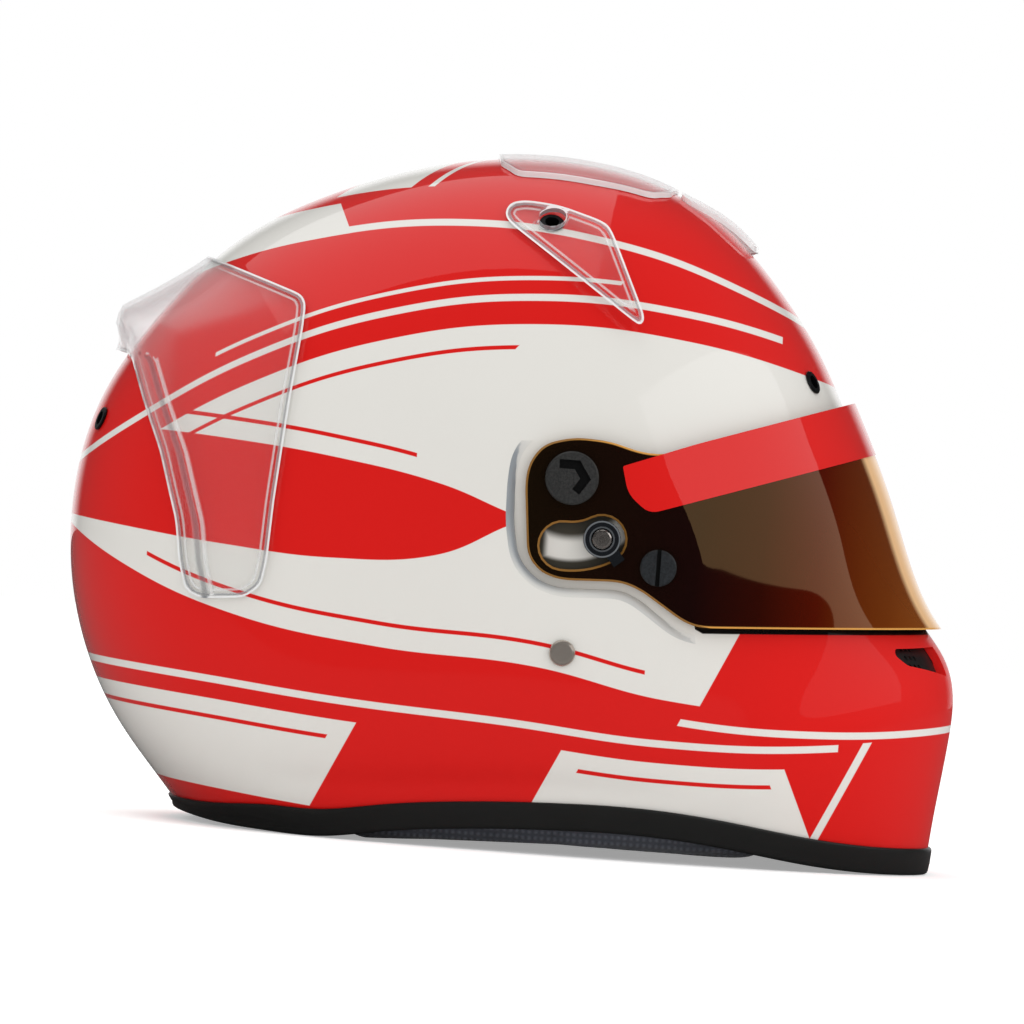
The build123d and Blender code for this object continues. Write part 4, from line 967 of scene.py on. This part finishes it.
# Paint layout: a generic one of flowing panels and pinstripes, on side-view curves in millimetres
livery = {
    # the near-black is the rubber seal under the visor's lower edge together with the painted shadow of the gap
    # there
    "red": "#dc1410", "white": "#e6e4de", "sealAndGapShadow": "#0d0605", "edge": 0.14,
    "curves": {
        "upper": [
            (-182, 118), (-150, 142), (-105, 170), (-55, 190), (0, 200), (60, 198),
            (120, 186), (182, 170)],
        "lower": [(-182, 118), (-150, 98), (-105, 82), (-50, 74), (10, 71), (60, 62), (120, 60), (182, 66)],
        "bladeTop": [
            (-182, 150), (-150, 150), (-110, 148), (-70, 144), (-30, 137), (4, 126),
            (60, 118), (182, 110)],
        "bladeFoot": [
            (-182, 116), (-150, 112), (-110, 108), (-70, 106), (-30, 110), (4, 126),
            (60, 134), (182, 140)],
        "brow": [
            (-182, 190), (-140, 208), (-90, 226), (-30, 236), (30, 232), (80, 218),
            (130, 196), (182, 160)],
        "skirt": [(-182, 54), (-120, 50), (-60, 45), (0, 42), (60, 38), (120, 40), (182, 50)],
        "visorFoot": [(-182, 73.6), (0, 84.1), (70, 88.2), (130, 91.7), (182, 94.7)],
    },
    # each band: paint, lower curve and offset, upper curve and offset, then ends as x, z and direction kept
    "bands": [
        ("white", ("lower", 0), ("upper", 0), [(92, 100, 155)]),
        ("red", ("bladeFoot", 0), ("bladeTop", 0), []),
        ("red", ("lower", 8), ("lower", 9.6), [(52, 70, 180), (-140, 90, 0)]),
        ("red", ("upper", -9.6), ("upper", -8), [(-6, 190, 140), (-150, 140, 0)]),
        ("red", ("bladeTop", 7), ("bladeTop", 8.6), [(-40, 140, 180), (-150, 150, 0)]),
        ("white", ("upper", 9), ("upper", 11.7), [(96, 180, 180)]),
        ("white", ("upper", 17), ("upper", 18.6), [(30, 215, 140), (-120, 180, 0)]),
        ("white", ("brow", 0), ("brow", 2.7), [(112, 205, 180)]),
        ("white", ("brow", 0), ("brow", 13), [(-72, 230, 205), (-150, 200, 0)]),
        ("white", ("skirt", -34), ("skirt", 0), [(-62, 30, 155), (-182, 30, 0)]),
        ("red", ("skirt", -7.6), ("skirt", -6), [(-182, 30, 0), (-70, 30, 155)]),
        ("white", ("skirt", -34), ("skirt", 0), [(18, 30, -25), (112, 30, 205)]),
        ("red", ("skirt", -7.6), ("skirt", -6), [(28, 30, -25), (104, 30, 205)]),
        ("white", ("skirt", 6), ("skirt", 8.7), [(128, 48, 180)]),
        ("white", ("lower", -8.7), ("lower", -6), [(70, 62, -25)]),
        ("white", ("skirt", -34), ("skirt", 8.7), [(128, 30, -25), (131.2, 30, 155)]),
        # painted shadow of the gap under the visor's lower edge, over the rubber seal, as one near-black band
        ("sealAndGapShadow", ("visorFoot", -0.3), ("visorFoot", 6.0), [(72, 88.4, 65)]),
    ],
    "crown": {"lean": 0.55, "limits": (-66, -28), "above": ("brow", 16), "line": (-20, -17)},
    "reach": 200.0, "tall": 300.0, "drift": (0.975, 1.0),
    "chinAhead": (0.085, 0.115), "chinLow": (0.115, 0.095),
}


def millimetres(tree, place):
    return [calc(tree, "MULTIPLY", axis, 1 / mm) for axis in axesOf(tree, place)]


def signedDistance(tree, x, z, place, direction):
    # millimetres inside a straight end that keeps the side towards a direction
    nx, nz = math.cos(math.radians(direction)), math.sin(math.radians(direction))
    across = calc(tree, "MULTIPLY_ADD", x, nx, -place[0] * nx - place[1] * nz)
    return calc(tree, "MULTIPLY_ADD", z, nz, across)


def liveryColour(tree, place):
    # red, with each band laid over it where a place is inside its two curves and its ends
    x, y, z = millimetres(tree, place)
    reach, tall = livery["reach"], livery["tall"]
    share = ramp(tree, x, -reach, reach, soft=False)
    above = {}
    for name, points in livery["curves"].items():
        curve = addNode(tree, "ShaderNodeFloatCurve", {1: share})
        line = curve.mapping.curves[0]
        shares = [((px + reach) / (2 * reach), pz / tall) for px, pz in points]
        line.points[0].location, line.points[1].location = shares[0], shares[-1]
        for spot in shares[1:-1]:
            line.points.new(*spot)
        curve.mapping.update()
        above[name] = calc(tree, "MULTIPLY_ADD", curve.outputs[0], -tall, z)

    def layOver(colour, distances, paint):
        inside = distances[0]
        for other in distances[1:]:
            inside = calc(tree, "MINIMUM", inside, other)
        mask = ramp(tree, inside, -livery["edge"], livery["edge"], soft=False)
        return mix(tree, mask, colour, linearColour(livery[paint]))

    colour = flatColour(tree, livery["red"])
    for paint, (low, lowShift), (high, highShift), ends in livery["bands"]:
        distances = [
            calc(tree, "SUBTRACT", above[low], lowShift), calc(tree, "SUBTRACT", highShift, above[high])]
        distances += [signedDistance(tree, x, z, end[:2], end[2]) for end in ends]
        colour = layOver(colour, distances, paint)
    crown = livery["crown"]
    line, shift = crown["above"]
    lean = calc(tree, "MULTIPLY_ADD", calc(tree, "ABSOLUTE", y), crown["lean"], x)
    over = calc(tree, "SUBTRACT", above[line], shift)
    for low, high in (crown["limits"], crown["line"]):
        limits = [calc(tree, "SUBTRACT", lean, low), calc(tree, "SUBTRACT", high, lean)]
        colour = layOver(colour, [over, *limits], "white")
    return colour


# Painted shade and painted reflection in the recess: across, along and under the slot in mm, and outwards over the
# wall in metres
recessPaintedShading = {
    # the dark colour is painted shade in the slot, the wall colour a painted reflection
    "dark": "#2b2616", "paintedShadowShare": 0.96, "inner": (-1.0, -5.0), "outer": (4.2, 6.4), "end": (12.5, 9.5),
    "beyond": (10.4, 9.2), "start": (7.2, 8.2), "under": (-4.0, -8.0),
    "wall": "#77828d", "wallFoot": (0.11505, 0.1153), "wallTop": (0.1216, 0.1188),
    "wallAlong": (28.0, 2.0, 0.3, 0.8), "wallHeight": (160.0, 150.0),
}


def reachFrom(tree, x, z, middle):
    # distance from a point in side view, by the root of the squares' sum, and the height over it
    across, up = [calc(tree, "SUBTRACT", value, float(at)) for value, at in zip((x, z), middle)]
    return calc(tree, "SQRT", calc(tree, "MULTIPLY_ADD", across, across, calc(tree, "MULTIPLY", up, up))), up


def slotPaintedShadeAndReflection(tree, place, colour):
    # painted shade: the dark sides that the arm's thick edge throws into its slot, by distance from the slot's
    # middle line
    x, _, z = millimetres(tree, place)
    reach, up = reachFrom(tree, x, z, outlineOf([visor["pivot"]])[0])
    off = calc(tree, "SUBTRACT", reach, visor["lockRadius"])
    sides = calc(tree, "MAXIMUM", ramp(tree, off, *recessPaintedShading["inner"]), ramp(tree, off, *recessPaintedShading["outer"]))
    sides = calc(tree, "MAXIMUM", sides, ramp(tree, x, *recessPaintedShading["end"]))
    beyond = ramp(tree, calc(tree, "ABSOLUTE", off), *recessPaintedShading["beyond"])
    near = calc(tree, "MULTIPLY", beyond, ramp(tree, x, *recessPaintedShading["start"]))
    near = calc(tree, "MULTIPLY", near, ramp(tree, up, *recessPaintedShading["under"]))
    mask = calc(tree, "MULTIPLY", calc(tree, "MULTIPLY", sides, near), recessPaintedShading["paintedShadowShare"])
    dark = mix(tree, mask, colour, linearColour(recessPaintedShading["dark"]))
    # painted reflection: the wall round the recess is tinted by the dim room it mirrors, most of all behind the arm
    out = calc(tree, "ABSOLUTE", axesOf(tree, place)[1])
    wall = calc(tree, "MULTIPLY", ramp(tree, out, *recessPaintedShading["wallFoot"]), ramp(tree, out, *recessPaintedShading["wallTop"]))
    most = calc(tree, "MULTIPLY", ramp(tree, x, *recessPaintedShading["wallAlong"]), ramp(tree, z, *recessPaintedShading["wallHeight"]))
    return mix(tree, calc(tree, "MULTIPLY", wall, most), dark, linearColour(recessPaintedShading["wall"]))


def lacquer(name, tinted=None):
    # two-pack paint under clear coat, sprayed and polished: even colour, sharp gloss, a faint orange peel
    material, tree, place = newMaterial(name)
    colour = flatColour(tree, tinted) if tinted else liveryColour(tree, place)
    # the off-white recess gets the painted shade of the slot and the painted reflection on its wall
    if tinted == livery["white"]:
        colour = slotPaintedShadeAndReflection(tree, place, colour)
    drift = ramp(tree, noise(tree, place, 9.0, 2.0), 0.3, 0.7, *livery["drift"], soft=False)
    peel = noise(tree, place, 420.0, 1.0)  # 2.4 mm peel
    # the coat thins towards the foot of the chin bar
    x, _, z = axesOf(tree, place)
    chin = calc(tree, "MULTIPLY", ramp(tree, x, *livery["chinAhead"]), ramp(tree, z, *livery["chinLow"]))
    surface(tree, {
        "Base Color": mix(tree, 1.0, colour, drift, "MULTIPLY"), "Roughness": 0.5, "Specular IOR Level": 0.1,
        "Coat Weight": calc(tree, "MULTIPLY_ADD", chin, -0.7, 1.0), "Coat Roughness": 0.025, "Coat IOR": 1.5,
        "Coat Normal": dent(tree, peel, 0.05, 0.00006)})
    return material


def visorSmoke(name, edge=False):
    # smoke polycarbonate with a gold mirror film: near black at the arm, amber towards the front; a gold reflection
    # is painted where it turns away from the eye, and a gold highlight along its cut edges
    material, tree, place = newMaterial(name)
    share = ramp(tree, axesOf(tree, place)[0], 0.0, visor["smokeReach"], soft=False)
    smoke = addNode(tree, "ShaderNodeValToRGB", {0: share})
    stops = smoke.color_ramp.elements
    for share, code in visor["smoke"][1:-1]:
        stops.new(share).color = linearColour(code)
    stops[0].color, stops[-1].color = linearColour(visor["smoke"][0][1]), linearColour(visor["smoke"][-1][1])
    gold = linearColour(visor["edgeHighlightGold"])
    facing = addNode(tree, "ShaderNodeLayerWeight", {"Blend": 0.5}).outputs["Facing"]
    rim = ramp(tree, facing, *visor["rimFacing"])
    distance = addNode(tree, "ShaderNodeAttribute", attribute_name="edgeDistance").outputs["Fac"]
    line = ramp(tree, distance, *visor["paintedEdgeHighlight"])
    lined = mix(tree, line, mix(tree, rim, smoke.outputs[0], linearColour(visor["grazingReflectionGold"])), gold)
    # the cut edge glows faintly gold, a painted highlight; the lens gets the painted gold reflection and edge
    # highlight in its colour
    lens = surface(tree, {
        "Base Color": linearColour("#8a6230") if edge else lined, "Roughness": 0.3 if edge else 0.03,
        "IOR": 1.5 if edge else 2.0, "Specular Tint": linearColour("#dcb179"),
        "Emission Color": gold, "Emission Strength": 0.04 if edge else 0.0})
    if not edge:
        light = calc(tree, "MULTIPLY_ADD", calc(tree, "MAXIMUM", rim, line), -0.48, 0.5)
        tree.links.new(light, lens.inputs["Specular IOR Level"])
    return material


def clearSheetMaterial(name, edge=False):
    # thermoformed clear polycarbonate: milkier where it turns away, by a power of 3, with painted highlights and
    # painted shade as lines at its edges and fold
    material, tree, place = newMaterial(name)
    bump = dent(tree, noise(tree, place, 38.0, 2.0), 0.2, 0.0004)
    facing = addNode(tree, "ShaderNodeLayerWeight", {"Blend": 0.5, "Normal": bump}).outputs["Facing"]
    veil = calc(tree, "MULTIPLY_ADD", calc(tree, "POWER", facing, 3.0), 0.5, 0.5 if edge else 0.025)
    colour = flatColour(tree, "#eef1f2")
    # each line is a painted highlight or painted shade, laid on by distance from an edge or the fold
    for line, start, end, low, high, most, code in clear["paintedEdgeHighlightsAndShade"]:
        near = addNode(tree, "ShaderNodeAttribute", attribute_name=line).outputs["Fac"]
        mask = calc(tree, "MULTIPLY", ramp(tree, near, start, low), ramp(tree, near, high, end, 1.0, 0.0))
        colour = mix(tree, mask, colour, linearColour(code))
        veil = calc(tree, "MAXIMUM", veil, calc(tree, "MULTIPLY", mask, most))
    surface(tree, {
        "Base Color": colour, "Roughness": 0.2 if edge else 0.05, "IOR": 1.58,
        "Coat Weight": 1.0, "Coat Roughness": 0.03, "Alpha": veil, "Normal": bump})
    return material


def grainMaterial(name, code, roughness, scale, depth, kind="ShaderNodeTexNoise", spread=0.12, **more):
    # a moulded or cast surface: one colour with a little variation, and a grain that dents it
    material, tree, place = newMaterial(name)
    grain = addNode(tree, kind, {"Vector": place, "Scale": scale}).outputs[0]
    cloud = noise(tree, place, 30.0, 4.0)
    shade = ramp(tree, cloud, 0.3, 0.7, 1 - spread, 1 + spread, soft=False)
    surface(tree, {
        "Base Color": mix(tree, 1.0, linearColour(code), shade, "MULTIPLY"),
        "Roughness": ramp(tree, cloud, 0.3, 0.7, roughness - 0.06, roughness + 0.06, soft=False),
        "Normal": dent(tree, grain, 0.6, depth), **more})
    return material


def cappedNylon(name, face, groove, top):
    # moulded nylon with a fine spark-eroded texture: dark grey, with painted shade that turns it near black down in
    # its grooves
    material, tree, place = newMaterial(name)
    side = calc(tree, "ABSOLUTE", axesOf(tree, place)[1])
    above = ramp(tree, side, (top - 0.55) * mm, (top - 0.35) * mm, soft=False)
    speck = noise(tree, place, 1400.0, 2.0)  # 0.7 mm texture
    shade = ramp(tree, speck, 0.35, 0.65, 0.75, 1.35, soft=False)
    toned = mix(tree, 1.0, linearColour(face), shade, "MULTIPLY")
    surface(tree, {
        "Base Color": mix(tree, above, linearColour(groove), toned), "Roughness": 0.5,
        "Normal": dent(tree, speck, 0.5, 0.0001)})
    return material


def nylonWithPaintedRimHighlights(name, code, line):
    # glossy moulded nylon, with painted highlights where its two rounded rims catch the light
    material, tree, place = newMaterial(name)
    angle = math.radians(visor["lockAngle"])
    swing = visor["lockRadius"] * np.array([math.cos(angle), math.sin(angle)])
    middle = outlineOf([visor["pivot"]])[0] + swing
    x, _, z = millimetres(tree, place)
    reach, _ = reachFrom(tree, x, z, middle)
    masks = []
    for radius, share in ((6.65, 0.42), (4.5, 0.22)):
        off = calc(tree, "ABSOLUTE", calc(tree, "SUBTRACT", reach, radius))
        masks.append(calc(tree, "MULTIPLY", ramp(tree, off, 0.42, 0.15), share))
    colour = mix(tree, calc(tree, "MAXIMUM", *masks), linearColour(code), linearColour(line))
    surface(tree, {"Base Color": colour, "Roughness": 0.18})
    return material


def knitFabric(name, code):
    # flame-resistant knit over foam: fine ribs of stitches, matt, with a soft sheen
    material, tree, place = newMaterial(name)
    stitch = {"Vector": place, "Scale": 130.0, "Distortion": 0.6}
    weave = calc(tree, "MULTIPLY", *[
        addNode(tree, "ShaderNodeTexWave", stitch, bands_direction=way).outputs[1] for way in ("X", "Z")])
    shade = ramp(tree, weave, 0.0, 1.0, 0.62, 1.15, soft=False)
    worn = ramp(tree, noise(tree, place, 60.0, 5.0), 0.35, 0.65, 0.88, 1.1, soft=False)
    toned = mix(tree, 1.0, mix(tree, 1.0, linearColour(code), shade, "MULTIPLY"), worn, "MULTIPLY")
    surface(tree, {
        "Base Color": toned, "Roughness": 0.92, "Sheen Weight": 0.25, "Sheen Roughness": 0.5,
        "Specular IOR Level": 0.2, "Normal": dent(tree, weave, 0.7, 0.0004)})
    return material


def turnedMetal(name, code, roughness):
    # satin metal, tumbled or turned: soft gloss with fine marks
    material, tree, place = newMaterial(name)
    marks = noise(tree, place, 900.0, 3.0)
    surface(tree, {
        "Base Color": linearColour(code), "Metallic": 1.0, "Normal": dent(tree, marks, 0.25, 0.00005),
        "Roughness": ramp(tree, marks, 0.3, 0.7, roughness - 0.07, roughness + 0.07, soft=False)})
    return material


paints = {
    "shell": lacquer("twoPackPaintUnderClearCoat"),
    "recess": lacquer("offWhitePaintUnderClearCoat", livery["white"]),
    "strip": lacquer("redVinylFilm", livery["red"]),
    "lens": visorSmoke("smokePolycarbonateWithGoldFilm"),
    "lensEdge": visorSmoke("polishedPolycarbonateEdge", True),
    "clear": clearSheetMaterial("clearPolycarbonateSheet"),
    "clearEdge": clearSheetMaterial("cutPolycarbonateEdge", True),
    "trim": grainMaterial("extrudedRubberTrim", "#1d1d1c", 0.42, 700.0, 0.00006, spread=0.06),
    "gasket": grainMaterial("spongeRubberGasket", "#1a1a1a", 0.75, 900.0, 0.0002),
    "foam": grainMaterial("beadFoamLiner", "#202022", 0.85, 260.0, 0.0006, "ShaderNodeTexVoronoi"),
    "mesh": grainMaterial("perforatedNylonGrille", "#161616", 0.55, 500.0, 0.0001),
    "nylon": grainMaterial("texturedNylonMoulding", "#1c1c1d", 0.55, 1500.0, 0.00012),
    "blackMetal": grainMaterial("blackAnodisedAluminium", "#17181a", 0.32, 1200.0, 0.00004, Metallic=0.6),
    "steel": turnedMetal("satinStainlessSteel", "#d4cdc6", 0.40),
    "darkSteel": turnedMetal("blackOxideSteel", "#3c3b3a", 0.36),
    "brightSteel": turnedMetal("polishedStainlessSteel", "#e6ddd6", 0.24),
    "rivet": grainMaterial("satinRivetSteel", "#c2b8ae", 0.26, 1200.0, 0.00003, spread=0.04, Metallic=0.72),
    # the cam's second colour is the painted highlight on its rims
    "gloss": nylonWithPaintedRimHighlights("glossyNylonMoulding", "#14171b", "#9a9fa3"),
    # the second colour of each is the painted shade in its grooves
    "cap": cappedNylon("sparkErodedNylonCap", "#2e2e2d", "#060606", 122.3),
    "tearOff": cappedNylon("sparkErodedNylonPost", "#23272b", "#050505", 121.9),
    "knit": knitFabric("flameResistantKnit", "#5a5d66"),
    "webbing": knitFabric("wovenPolyesterWebbing", "#1b1b1d"),
}

shellPaints = [paints["shell"], paints["recess"]]
shellPiece = dressPiece(makeShell(), shellPaints, "helmet", "shell_paint", "outer_shell")
print("shell:", len(shellPiece.data.polygons))
dressPiece(makeTrim(), [paints["trim"]], "helmet", "trim_rubber", "base_trim", sharp=60)
lensPiece = dressPiece(makeVisor(), [paints["lens"], paints["lensEdge"]], "visor", "visor_lens", "visor_lens")
stripPiece = dressPiece(makeStrip(), [paints["strip"]], "visor", "sun_strip", "visor_sun_strip")
print("visor:", len(lensPiece.data.polygons), len(stripPiece.data.polygons))
for node, piece in makeClearParts().items():
    dressPiece(piece, [paints["clear"], paints["clearEdge"]], "helmet", "clear_plastic", node)
    print(node, len(piece.data.polygons))
for piece, node in zip(makeStraps(), ("chin_strap_right", "chin_strap_left")):
    dressPiece(piece, [paints["webbing"]], "helmet", "webbing", node, sharp=60)
for name, node, over in lining["pieces"]:
    pad = dressPiece(makePad(name, node, over), [paints["knit"]], "helmet", "comfort_fabric", node, sharp=180)
    print(name, len(pad.data.polygons))

finishes = {
    "eyeport_gasket": "gasket", "crown_liner": "foam", "chin_bar_liner": "foam",
    "chin_vent_mesh_right": "mesh", "chin_vent_mesh_left": "mesh", "crown_vent_ferrules": "blackMetal",
    "forehead_vent_ferrules": "blackMetal", "rear_vent_ferrules": "blackMetal", "strap_rivets": "rivet",
    "d_ring_outer": "steel", "d_ring_inner": "steel",
}
for side in ("right", "left"):
    finishes.update({
        f"pivot_boss_{side}": "nylon", f"pivot_cap_{side}": "cap", f"pivot_nut_{side}": "blackMetal",
        f"lock_post_{side}": "darkSteel", f"lock_cam_{side}": "gloss", f"lock_screw_{side}": "brightSteel",
        f"tear_off_post_{side}": "tearOff", f"strap_anchor_plate_{side}": "steel"})
for node, finish in finishes.items():
    nodes[node].data.materials.clear()
    nodes[node].data.materials.append(paints[finish])
for slot in placeholders:
    bpy.data.materials.remove(slot)
print("finishes on the carried-over parts")
